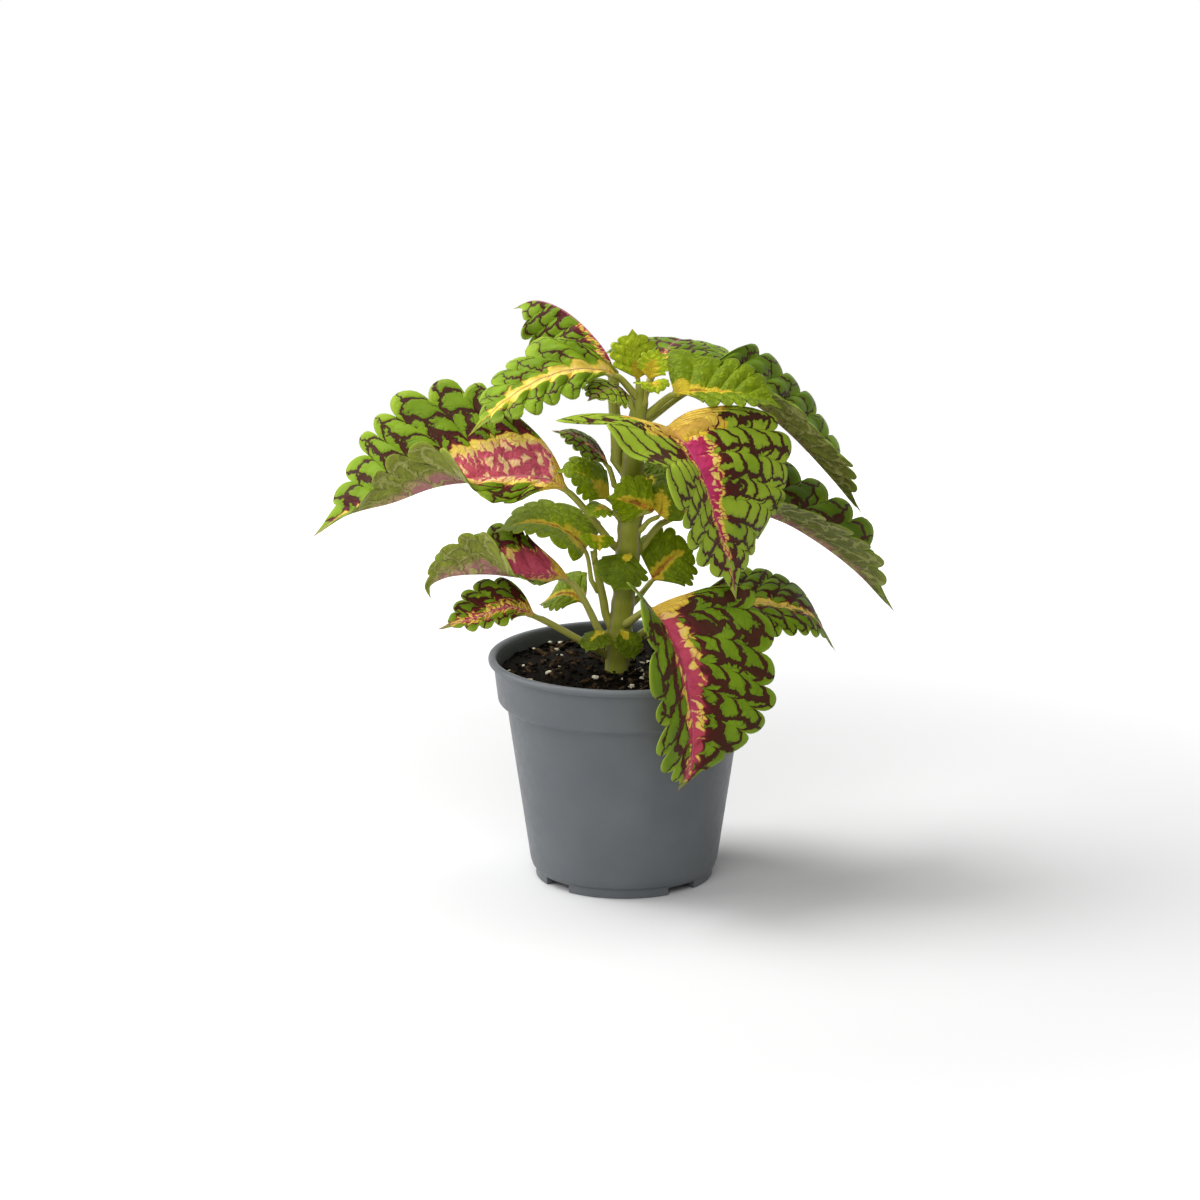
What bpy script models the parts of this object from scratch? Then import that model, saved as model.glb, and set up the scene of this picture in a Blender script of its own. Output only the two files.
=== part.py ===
"""Coleus in a grey 10.5 cm nursery pot.

The pot, the soil, the two stems and every leaf are separate bodies.  The pot's axis and the floor
set the working frame (millimetres, +X right, +Y away, +Z up); the whole plant is moved at the end
so that the centre of its footprint is at the origin.
"""
import math

import bmesh
import bpy
import numpy as np

MM = 0.001
CLEAR = 0.3            # air between two bodies that touch

# ---- pot (round, about its own axis) -----------------------------------------------------------
POT_HEIGHT = 87.5
RIM_RADIUS = 52.5      # 10.5 cm across
LIP_HEIGHT = 3.0       # rolled lip
LIP_WIDTH = 2.6
BAND_TOP_RADIUS = 50.4
BAND_BOTTOM_RADIUS = 48.7
BAND_BOTTOM = 70.0
SHOULDER_RADIUS = 45.3
SHOULDER = 67.6
FOOT_EDGE_RADIUS = 36.4
FOOT_EDGE = 6.5
FOOT_RADIUS = 34.3
FOOT_INNER_RADIUS = 31.4
FOOT_HEIGHT = 3.2
FLOOR_TOP = 4.8
WALL = 1.3
POT_SIDES = 48
NOTCHES = 4
NOTCH_WIDTH = 22.0     # degrees of the foot ring left out
NOTCH_TURN = -49.5     # degrees, the first notch
DRAIN_RADIUS = 3.2     # round holes through the floor, one at each notch
DRAIN_AT = 25.5

# ---- soil --------------------------------------------------------------------------------------
SOIL_LEVEL = 78.0
SOIL_ROUGH = 0.9

# ---- stems: x, y, z, half thickness -------------------------------------------------------------
MAIN_STEM = [(-3, 0, SOIL_LEVEL + CLEAR, 5.0), (-2, 0, 95, 4.6), (0, 0, 112, 4.4),
             (1.5, 0, 130, 4.5), (3, 0, 160, 4.3), (4.5, 0, 178, 3.4), (6, 0, 188, 2.4),
             (6.5, 0, 194, 1.5)]
SIDE_SHOOT = [(-7.1, -0.8, 103.5, 1.7), (-8.0, -1.6, 109, 1.7), (-10.2, -2.8, 120, 1.5),
              (-12, -3, 129, 1.2)]
STEM_SQUARE = 0.05     # the stems are square with rounded corners
STEM_SIDES = 12

BLADE = 0.9            # blade thickness near the midrib
EDGE = 0.4             # blade thickness at the margin


def leaf(name, stem, azimuth, route, width, fold=((0,), (0,)), curl=((0,), (0,)), roll=(0,),
         sway=None, joint=1, lobes=7, petiole=1.4, base=0.6, forward=0.14, taper=1.15,
         kind="mature"):
    """One leaf. azimuth: where it points, degrees from +X. route: (distance from the stem's
    axis, height) of points along the petiole, from its foot, and on along the midrib to the
    tip; the blade begins at the point numbered joint.
    width: flat half widths, fold: rise of each half from the midrib in degrees, curl: how much
    more it bends on the way to the margin; the left half first (seen from the stem), each given
    from base to tip."""
    return dict(name=name, stem=stem, azimuth=azimuth, route=route, width=width, fold=fold,
                curl=curl, roll=roll, sway=sway, joint=joint, lobes=lobes, petiole=petiole,
                base=base, forward=forward, taper=taper, kind=kind)


LEAVES = [
    # the top of the plant
    leaf("leaf_top_front", "main", -45,
         [(5, 166), (17.5, 179), (21, 178), (30, 171), (37, 162), (43, 148), (49.5, 134), (54, 119)],
         (38, 28), fold=((52, 26, 12, -14, -20), (36, 20, 32, 34, 28, 15, 8)),
         curl=((-20, -20, -20), (-25, -25, -20)), base=(0.9, 1.5), forward=(0.1, -0.33)),
    leaf("leaf_top_left", "main", 207,
         [(2, 190), (11, 198), (28, 201.5), (44, 198.5), (59, 191), (73, 180)], (9, 15),
         fold=((-20, -20, -10), (70, 22, -5)), curl=((-20, -30, -20), (0, -10, -10)), lobes=6,
         kind="young"),
    leaf("leaf_top_back_left", "main", 148,
         [(4, 160), (6.8, 168), (8.3, 185), (9.5, 200), (19, 211), (32, 219), (44, 221), (54, 217)],
         (19, 20), fold=((0, -50, -20), (-50, -60, -20)), curl=((-20, -30, -20), (-20, -50, -20)),
         joint=3, lobes=6, petiole=2.2),
    leaf("leaf_top_back_right", "main", 72,
         [(3, 186), (16, 194), (30, 199), (45, 201), (60, 199), (74, 192)], (22, 20),
         fold=((10, 10, 0), (0, 0, 0)), curl=((-20, -30, -20), (-10, -20, -20))),
    leaf("leaf_top_right_long", "main", 25,
         [(3, 179), (26, 190), (46, 185), (65, 170), (84, 150), (98, 133)], (22, 20),
         fold=((45, 54, 52, 50, 30), (22, 14, 12, 14, 10)), curl=((-10, -10, -10), (0, -10, 0)),
         base=(0.95, 0.9)),
    leaf("leaf_top_right_young", "main", -5, [(3, 182), (14, 190), (28, 191), (42, 190), (55, 185)],
         (14, 8), fold=((44, 44, 30), (-8, -8, -5)), curl=((0, -10, -10), (-20, -20, -10)), lobes=6,
         base=(1.35, 0.6), forward=(-0.1, 0.14), kind="young"),
    # the growing tip
    leaf("leaf_tip_back", "main", 110, [(2, 191), (3.5, 195), (6.5, 204), (10, 213)], (9.5, 8),
         fold=((25, 15, 0), (-10, -10, 0)), lobes=4, base=1.0, taper=1.0, kind="young", petiole=0.9),
    leaf("leaf_tip_right", "main", 20, [(2, 191), (3.5, 195), (5, 201), (7, 207)], (5, 5),
         fold=((20, 10, 0), (20, 10, -20)), roll=(60, 60, 60), lobes=4, kind="young", petiole=0.8),
    leaf("leaf_tip_front", "main", -60, [(1.5, 187), (5, 192), (9, 195), (14, 192)], (6, 6),
         fold=((30, 20, 0), (30, 20, 0)), curl=((0, -20, 0), (0, -20, 0)), lobes=4, kind="young",
         petiole=0.8),
    leaf("leaf_tip_left", "main", 225, [(2, 185), (6, 190), (16, 194), (28, 191)], (8, 8),
         fold=((-30, -25, 0), (25, 20, 0)), curl=((0, -20, 0), (0, -10, 0)), lobes=5, kind="young",
         petiole=1.0),
    # half way up
    leaf("leaf_mid_left", "main", 185,
         [(4, 130), (24, 153), (35, 158), (52, 158), (73, 156), (90, 150), (108, 145), (121, 136)],
         (22, 35), fold=((-25, -20, 20, 65, 60, 30), (60, 60, 30)),
         curl=((-30, -20, 10, 0, -10), (0, -10, -10)), lobes=8, taper=1.3),
    leaf("leaf_mid_right", "main", 20,
         [(2, 129), (15, 139), (45, 142), (63, 136), (79, 126), (97, 111), (112, 94)], (22, 20),
         fold=((28, 40, 50, 62, 50), (15, 20, 22, 26, 10)), curl=((0, -10, -10), (0, -5, 0)),
         taper=1.05),
    leaf("leaf_mid_back", "main", 176,
         [(4, 153), (9, 162), (15, 168.5), (22.5, 173.5), (30.5, 175)], (8, 8),
         fold=((-15, -15, -10), (5, 5, 0)), lobes=5, petiole=1.1),
    leaf("leaf_bud_left", "main", 185, [(4.5, 146), (8, 149), (15, 156.5), (22, 160), (29, 160)],
         (10, 10.5), fold=((-25, -20, -5), (35, 35, 15)), curl=((-20, -20, 0), (-10, -10, 0)),
         lobes=5, kind="young", petiole=1.1),
    leaf("leaf_bud_front", "main", 265, [(5, 144), (9, 147), (12, 151), (13, 152.5)], (9, 10),
         fold=((40, 35, 20), (10, 10, 0)), curl=((0, 0, 0), (-20, -20, 0)), sway=(3, 9, 1, -8),
         lobes=4, kind="young", petiole=0.9),
    leaf("leaf_bud_front_low", "main", 212, [(5, 142), (8, 145), (13, 147), (19, 144)], (6, 6),
         fold=((-15, -15, -10), (10, 10, 0)), curl=((0, 0, 0), (0, 0, 0)), lobes=4, kind="young",
         petiole=1.0),
    leaf("leaf_bud_back", "main", 52, [(4, 143), (8, 148), (13, 155), (16, 162)], (11, 11),
         fold=((15, 10, 0), (15, 10, 0)), lobes=4, kind="young", petiole=1.0),
    leaf("leaf_bud_right", "main", -35, [(4, 137), (9, 141.5), (14, 144.5), (15.5, 151), (15, 158)],
         (9, 9), fold=((10, 10, 0), (10, 10, 0)), curl=((0, -20, 0), (0, -20, 0)),
         roll=(90, 90, 90), joint=2, lobes=4, base=0.9, forward=0.05, kind="young", petiole=1.0),
    # low down
    leaf("leaf_low_left", "main", 192,
         [(4, 95), (20, 118), (38, 121), (54, 123), (68, 122), (74, 118.5), (73, 113)], (18, 17),
         fold=((0, 10, 60, 75, 60, 40), (12, 20, 10))),
    leaf("leaf_shoot_left", "side", 180, [(1, 116), (6, 130), (16, 138), (28, 140), (41, 136)],
         (11, 15), fold=((-10, 0, 0), (30, 25, 10)), curl=((-20, -20, 0), (0, -10, 0)), lobes=6,
         base=1.0, forward=-0.1, kind="young", petiole=0.9),
    leaf("leaf_shoot_right", "side", -75, [(1, 127.5), (2, 134), (5, 136), (9, 131)], (6, 6),
         fold=((10, 0, 0), (30, 20, 0)), curl=((-20, -20, 0), (-20, -20, 0)), lobes=4, kind="young",
         petiole=0.7),
    leaf("leaf_base_left", "main", 200, [(4, 88), (34, 106), (44, 110), (58, 107), (73, 104)],
         (5, 13), fold=((-30, -20, -10), (48, 35, 20)), curl=((-20, -20, -10), (0, -10, -10)),
         lobes=5, base=0.8, taper=1.8),
    leaf("leaf_low_back", "main", 160, [(4, 93), (14, 107), (22, 109.5), (33, 104)], (10, 13),
         fold=((-10, -10, 0), (45, 35, 0)), curl=((-20, -20, 0), (-20, -20, 0)), lobes=5,
         kind="young", petiole=1.0),
    leaf("leaf_base_small", "main", 230, [(4, 95), (9, 98), (15, 97), (20, 92)], (6, 6),
         fold=((10, 0, 0), (10, 0, 0)), curl=((-20, -20, 0), (-20, -20, 0)), lobes=4, kind="young",
         petiole=1.0),
    leaf("leaf_low_right", "main", 10,
         [(4, 93), (30, 107), (47, 106), (62, 104), (76, 99), (86, 84)], (19, 15),
         fold=((30, 30, 0), (0, -10, -10)), curl=((-10, -10, -10), (-20, -30, -20))),
    leaf("leaf_low_round", "main", 20, [(4, 108), (12, 116), (20, 124), (30, 128)], (12, 12),
         fold=((10, 10, 0), (10, 10, 0)), roll=(50, 50, 50), lobes=5, kind="young", petiole=1.1),
    leaf("leaf_low_front", "main", -64,
         [(5, 101), (25, 111), (29, 109.5), (45, 102.5), (54, 94), (59, 80), (60.5, 70), (58, 57),
          (49, 46)],
         (31, 21), fold=((44, 16, -10), (54, 56, 46, 42, 30, 15)),
         curl=((-10, -20, -20), (-10, -25, -20)), base=(1.0, 0.95), forward=(0.08, -0.05)),
    leaf("leaf_low_small", "main", 262, [(5, 125), (8, 129), (13, 126), (17, 116)], (9, 9),
         curl=((-20, -20, 0), (-20, -20, 0)), sway=(1, 2, 0, -3), lobes=4, kind="young",
         petiole=1.0),
    leaf("leaf_base_front", "main", 284, [(5, 96), (9, 99), (13, 96), (16, 89)], (4.5, 4.5),
         fold=((10, 10, 0), (10, 10, 0)), sway=(0, -1, 0, 2), lobes=4, kind="young", petiole=0.9),
]

# base colour, roughness
COLOURS = {
    "pot_grey_plastic": ((0.115, 0.125, 0.135), 0.5),
    "soil_peat": ((0.012, 0.009, 0.007), 0.95),
    "stem_green": ((0.16, 0.19, 0.045), 0.55),
    "leaf_mature": ((0.12, 0.24, 0.03), 0.5),
    "leaf_young": ((0.24, 0.36, 0.03), 0.5),
}


# ---- small helpers -----------------------------------------------------------------------------
def material(name):
    mat = bpy.data.materials.get(name)
    if mat is None:
        colour, rough = COLOURS[name]
        mat = bpy.data.materials.new(name)
        mat.use_nodes = True
        shader = mat.node_tree.nodes["Principled BSDF"]
        shader.inputs["Base Color"].default_value = (*colour, 1.0)
        shader.inputs["Roughness"].default_value = rough
        mat.diffuse_color = (*colour, 1.0)
    return mat


def add_object(name, verts, faces, mat_name):
    """verts in mm; the faces are turned outwards."""
    mesh = bpy.data.meshes.new(name)
    mesh.from_pydata([tuple(v) for v in np.asarray(verts) * MM], [], faces)
    bm = bmesh.new()
    bm.from_mesh(mesh)
    bmesh.ops.triangulate(bm, faces=[f for f in bm.faces if len(f.verts) > 4])
    if bm.calc_volume(signed=True) < 0:
        bmesh.ops.reverse_faces(bm, faces=bm.faces[:])
    bm.to_mesh(mesh)
    bm.free()
    obj = bpy.data.objects.new(name, mesh)
    bpy.context.collection.objects.link(obj)
    mesh.materials.append(material(mat_name))
    return obj


def loft(rings, end_point=None):
    """closed body from rings of the same count; the last ring closes on end_point when given."""
    verts = [v for ring in rings for v in ring]
    count = len(rings[0])
    faces = []
    for i in range(len(rings) - 1):
        for k in range(count):
            a, b = i * count + k, i * count + (k + 1) % count
            faces.append((a, b, b + count, a + count))
    faces.append(tuple(range(count))[::-1])
    last = (len(rings) - 1) * count
    if end_point is None:
        faces.append(tuple(range(last, last + count)))
    else:
        verts.append(end_point)
        faces += [(last + k, last + (k + 1) % count, len(verts) - 1) for k in range(count)]
    return verts, faces


def smooth_path(points, count):
    """Centripetal Catmull-Rom curve through the points, count samples evenly along it."""
    p = np.array(points, float)
    p = np.vstack([2 * p[0] - p[1], p, 2 * p[-1] - p[-2]])
    knot = np.r_[0, np.cumsum(np.linalg.norm(np.diff(p[:, :3], axis=0), axis=1) ** 0.5)]
    fine = []
    for i in range(1, len(p) - 2):
        t0, t1, t2, t3 = knot[i - 1:i + 3]
        for t in np.linspace(t1, t2, 40, endpoint=False):
            a, b, c = (((k1 - t) * q + (t - k0) * r) / (k1 - k0) for q, r, k0, k1 in (
                (p[i - 1], p[i], t0, t1), (p[i], p[i + 1], t1, t2), (p[i + 1], p[i + 2], t2, t3)))
            a, b = (((k1 - t) * q + (t - k0) * r) / (k1 - k0) for q, r, k0, k1 in (
                (a, b, t0, t2), (b, c, t1, t3)))
            fine.append(((t2 - t) * a + (t - t1) * b) / (t2 - t1))
    fine = np.array(fine + [p[-2]])
    run = np.r_[0, np.cumsum(np.linalg.norm(np.diff(fine[:, :3], axis=0), axis=1))]
    want = np.linspace(0, run[-1], count)
    return np.stack([np.interp(want, run, fine[:, k]) for k in range(fine.shape[1])], 1)


def blend(values, t):
    """values spread evenly over t = 0..1, eased from one to the next."""
    v = np.array(values, float)
    if len(v) == 1:
        return np.full_like(t, v[0])
    place = np.clip(t, 0, 1) * (len(v) - 1)
    i = np.clip(place.astype(int), 0, len(v) - 2)
    s = place - i
    s = s * s * (3 - 2 * s)
    return v[i] * (1 - s) + v[i + 1] * s


# ---- pot and soil ------------------------------------------------------------------------------
def pot_profile():
    top, lip = POT_HEIGHT, LIP_HEIGHT
    outer = [(FOOT_RADIUS, 0), (FOOT_RADIUS, FOOT_HEIGHT), (FOOT_RADIUS + 1.3, FOOT_HEIGHT + 1),
             (FOOT_EDGE_RADIUS, FOOT_EDGE), (SHOULDER_RADIUS, SHOULDER),
             (SHOULDER_RADIUS + 0.7, SHOULDER + 1.3), (BAND_BOTTOM_RADIUS - 0.8, BAND_BOTTOM - 0.5),
             (BAND_BOTTOM_RADIUS, BAND_BOTTOM + 0.5), (BAND_TOP_RADIUS, top - lip),
             (RIM_RADIUS - 0.4, top - lip + 0.4), (RIM_RADIUS, top - 1.5),
             (RIM_RADIUS - 0.4, top - 0.4), (RIM_RADIUS - 1.3, top),
             (RIM_RADIUS - LIP_WIDTH, top - 0.3), (RIM_RADIUS - LIP_WIDTH - 0.6, top - 1.2)]
    inner = [(BAND_TOP_RADIUS - WALL - 0.2, top - lip), (BAND_BOTTOM_RADIUS - WALL, BAND_BOTTOM + 0.6),
             (SHOULDER_RADIUS - WALL + 0.4, SHOULDER + 0.2),
             (SHOULDER_RADIUS - WALL, SHOULDER - 1.5),
             (FOOT_EDGE_RADIUS - WALL - 0.2, FLOOR_TOP + 2.0), (FOOT_EDGE_RADIUS - WALL - 2.0, FLOOR_TOP)]
    under = [(FOOT_INNER_RADIUS - 0.3, FOOT_HEIGHT), (FOOT_INNER_RADIUS, 0)]
    return outer + inner, under


def revolve(profile, sides, turn=0.0):
    rings = []
    for r, z in profile:
        a = np.linspace(0, 2 * math.pi, sides, endpoint=False) + turn
        rings.append(np.stack([r * np.cos(a), r * np.sin(a), np.full(sides, float(z))], 1))
    return rings


def sector(r0, r1, z0, z1, mid, width, steps):
    """solid piece of a ring, used as a cutter"""
    a = np.radians(np.linspace(mid - width / 2, mid + width / 2, steps))
    rings = []
    for t in a:
        c, s = math.cos(t), math.sin(t)
        rings.append([(r0 * c, r0 * s, z0), (r1 * c, r1 * s, z0), (r1 * c, r1 * s, z1),
                      (r0 * c, r0 * s, z1)])
    return loft(rings)


def build_pot():
    profile, under = pot_profile()
    rings = revolve(profile, POT_SIDES)
    verts = [v for ring in rings for v in ring]
    n = POT_SIDES
    faces = []
    for i in range(len(rings) - 1):
        faces += [(i * n + k, i * n + (k + 1) % n, (i + 1) * n + (k + 1) % n, (i + 1) * n + k)
                  for k in range(n)]
    # the floor's upper face closes in the middle, and so does its underside
    top = len(verts)
    verts.append((0, 0, FLOOR_TOP))
    last = (len(rings) - 1) * n
    faces += [(last + k, last + (k + 1) % n, top) for k in range(n)]
    start = len(verts)
    for ring in revolve(under, n):
        verts += list(ring)
    foot = start + n
    faces += [(foot + k, foot + (k + 1) % n, (k + 1) % n, k) for k in range(n)]
    faces += [(start + k, start + (k + 1) % n, foot + (k + 1) % n, foot + k) for k in range(n)]
    below = len(verts)
    verts.append((0, 0, FOOT_HEIGHT))
    faces += [(below, start + (k + 1) % n, start + k) for k in range(n)]
    pot = add_object("pot", verts, faces, "pot_grey_plastic")
    cutters = []
    for i in range(NOTCHES):
        mid = NOTCH_TURN + i * 360.0 / NOTCHES
        cutters.append(add_object("cut", *sector(FOOT_INNER_RADIUS - 2, FOOT_RADIUS + 3, -1,
                                                 FOOT_HEIGHT - 0.4, mid, NOTCH_WIDTH, 5),
                                  "pot_grey_plastic"))
        a = math.radians(mid)
        hole = [np.add((DRAIN_AT * math.cos(a), DRAIN_AT * math.sin(a), z),
                       [(DRAIN_RADIUS * math.cos(b), DRAIN_RADIUS * math.sin(b), 0)
                        for b in np.linspace(0, 2 * math.pi, 12, endpoint=False)])
                for z in (1.0, FLOOR_TOP + 1.0)]
        cutters.append(add_object("cut", *loft(hole), "pot_grey_plastic"))
    for cutter in cutters:
        cut = pot.modifiers.new("cut", "BOOLEAN")
        cut.operation = "DIFFERENCE"
        cut.solver = "EXACT"
        cut.object = cutter
        with bpy.context.temp_override(object=pot, active_object=pot, selected_objects=[pot]):
            bpy.ops.object.modifier_apply(modifier=cut.name)
        bpy.data.objects.remove(cutter)
    return pot


def soil_height(x, y):
    """gentle lumps; level where the stem stands and at the pot's wall"""
    lump = (math.sin(x * 0.31 + 1.0) * math.cos(y * 0.27 - 0.4)
            + 0.6 * math.sin(x * 0.13 - y * 0.22) + 0.5 * math.cos(x * 0.52 + y * 0.47))
    stem_x, stem_y = MAIN_STEM[0][:2]
    away = min(1.0, max(0.0, (math.hypot(x - stem_x, y - stem_y) - 7.0) / 5.0))
    return SOIL_LEVEL + SOIL_ROUGH * lump * away * 0.6


def build_soil():
    _, wall = None, []
    profile, _ = pot_profile()
    inner = [p for p in profile[-6:]][::-1]
    sides = POT_SIDES
    # up the pot's wall, a little off it
    up = [(inner[0][0] - CLEAR, inner[0][1] + CLEAR)]
    up += [(r - CLEAR, z) for r, z in inner[1:-1]]
    r_low, z_low = inner[-2]
    r_high, z_high = inner[-1]
    share = (SOIL_LEVEL - z_low) / (z_high - z_low)
    up.append((r_low + (r_high - r_low) * share - CLEAR, SOIL_LEVEL))
    rings = revolve(up, sides)
    rim = up[-1][0]
    for r in (0.86, 0.68, 0.5, 0.32, 0.15):
        ring = revolve([(rim * r, SOIL_LEVEL)], sides)[0]
        rings.append([(x, y, soil_height(x, y)) for x, y, _ in ring])
    verts, faces = loft(rings)
    return add_object("soil", verts, faces, "soil_peat")


# ---- stems -------------------------------------------------------------------------------------
def stem_ring(centre, radius, turn):
    a = np.linspace(0, 2 * math.pi, STEM_SIDES, endpoint=False) + math.pi / STEM_SIDES
    r = radius * (1 + STEM_SQUARE * np.cos(4 * (a - turn)))
    return np.stack([centre[0] + r * np.cos(a), centre[1] + r * np.sin(a),
                     np.full(STEM_SIDES, centre[2])], 1)


def build_stem(name, route, steps):
    points = smooth_path(route, steps)
    rings = [stem_ring(p[:3], p[3], math.pi / 4) for p in points]
    verts, faces = loft(rings)
    return add_object(name, verts, faces, "stem_green")


def stem_at(route, z):
    """axis and half thickness of a stem at a height"""
    points = smooth_path(route, 60)
    return np.array([np.interp(z, points[:, 2], points[:, k]) for k in (0, 1, 3)])


# ---- leaves ------------------------------------------------------------------------------------
def both(value, side):
    return value[0 if side > 0 else 1] if hasattr(value, "__len__") else value


class Blade:
    """The midrib as a curve, and the bent surface that hangs on it."""

    def __init__(self, spec):
        self.spec = spec
        az = math.radians(spec["azimuth"])
        out = np.array([math.cos(az), math.sin(az), 0.0])
        self.across = np.array([-math.sin(az), math.cos(az), 0.0])
        stem = MAIN_STEM if spec["stem"] == "main" else SIDE_SHOOT
        x, y, _ = stem_at(stem, spec["route"][0][1])
        thick = stem_at(stem, spec["route"][0][1] - 1.5)[2]
        self.axis, self.out = np.array([x, y, 0.0]), out
        start = thick * (1 + STEM_SQUARE) + CLEAR
        first, second = spec["route"][:2]
        rise = math.atan2(second[1] - first[1], second[0] - start)
        if math.cos(rise) < 0.55:
            start += spec["petiole"] * 1.12 * math.sin(rise)
        route = [(start, spec["route"][0][1])] + list(spec["route"][1:])
        sway = spec["sway"] or [0.0] * len(route)
        points = [self.axis + out * r + np.array([0, 0, z]) + self.across * s
                  for (r, z), s in zip(route, sway)]
        fine = smooth_path(points, 400)
        k = int(np.argmin(np.linalg.norm(fine - points[spec["joint"]], axis=1)))
        self.stalk, self.rib = fine[:k + 1], fine[k:]
        self.start = start
        self.run = np.r_[0, np.cumsum(np.linalg.norm(np.diff(self.rib, axis=0), axis=1))]
        self.length = self.run[-1]

    def point(self, y):
        y = np.clip(y, 0, self.length)
        return np.stack([np.interp(y, self.run, self.rib[:, k]) for k in range(3)], -1)

    def frame(self, y):
        y = np.asarray(y, float)
        step = 0.04 * self.length
        inside = np.clip(y, 0, self.length)
        ahead = self.point(inside + step) - self.point(inside - step)
        ahead /= np.linalg.norm(ahead, axis=-1, keepdims=True)
        at = self.point(y) + ahead * (y - inside)[..., None]
        side = self.across - ahead * (ahead @ self.across)[..., None]
        side /= np.linalg.norm(side, axis=-1, keepdims=True)
        up = np.cross(ahead, side)
        turn = np.radians(blend(self.spec["roll"], y / self.length))[..., None]
        return (at, side * np.cos(turn) + up * np.sin(turn),
                up * np.cos(turn) - side * np.sin(turn))

    def flat(self, u, t, side):
        """place in the flat blade (across, along) at share u of the vein that leaves the midrib
        at share t; the veins end in the notches and the margin swells into a lobe between two"""
        s = self.spec
        base, forward, width = (both(s[k], side) for k in ("base", "forward", "width"))
        rise = base + (1 - base) * np.sin(np.clip(t / 0.22, 0, 1) * math.pi / 2)
        fall = np.cos(np.clip((t - 0.22) / 0.78, 0, 1) * math.pi / 2) ** s["taper"]
        shape = np.where(t < 0.22, rise, fall * (1 - 0.5 * np.clip((t - 0.6) / 0.3, 0, 1)))
        span = 0.8 / s["lobes"]
        phase = np.clip(t / span, 0, s["lobes"] - 1e-9) % 1.0
        lobe = np.where(t < 0.8, np.sqrt(np.clip(1 - (2 * phase - 1) ** 2, 0, 1)), 0)
        near = np.clip(t / 0.3, 0, 1)
        root = np.clip(t / 0.06, 0.06, 1) ** 0.8
        reach_x = width * shape * root
        reach_y = (forward * (1 - near) + 0.17 * near + 0.2 * t) * self.length * (1 - t) * root
        size = np.hypot(reach_x, reach_y) + 1e-9
        swell = 0.5 * self.length * span * lobe * u ** 3 * np.clip(shape * 1.5, 0.35, 1)
        x = reach_x * u + 0.9 * swell * reach_x / size
        y = self.length * t + reach_y * u ** 1.3 + swell * reach_y / size
        return x * side, y

    def bend(self, x, y):
        """place in space of a place in the flat blade"""
        at, across, up = self.frame(y)
        t = np.asarray(y) / self.length
        left = np.asarray(x) >= 0
        fold, curl = self.spec["fold"], self.spec["curl"]
        f = np.radians(np.where(left, blend(fold[0], t), blend(fold[1], t)))
        c = np.radians(np.where(left, blend(curl[0], t), blend(curl[1], t)))
        c = np.where(abs(c) < 1e-4, 1e-4, c)
        width = max(self.spec["width"])
        s = abs(x) / width
        gone = width * (np.sin(f + c * s) - np.sin(f)) / c
        risen = -width * (np.cos(f + c * s) - np.cos(f)) / c
        return at + across * (np.where(left, 1, -1) * gone)[..., None] + up * risen[..., None]

    def normal(self, x, y):
        e = 0.05
        dx = self.bend(x + e, y) - self.bend(x - e, y)
        dy = self.bend(x, y + e) - self.bend(x, y - e)
        n = np.cross(dy, dx)
        return n / (np.linalg.norm(n, axis=-1, keepdims=True) + 1e-12)


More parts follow.
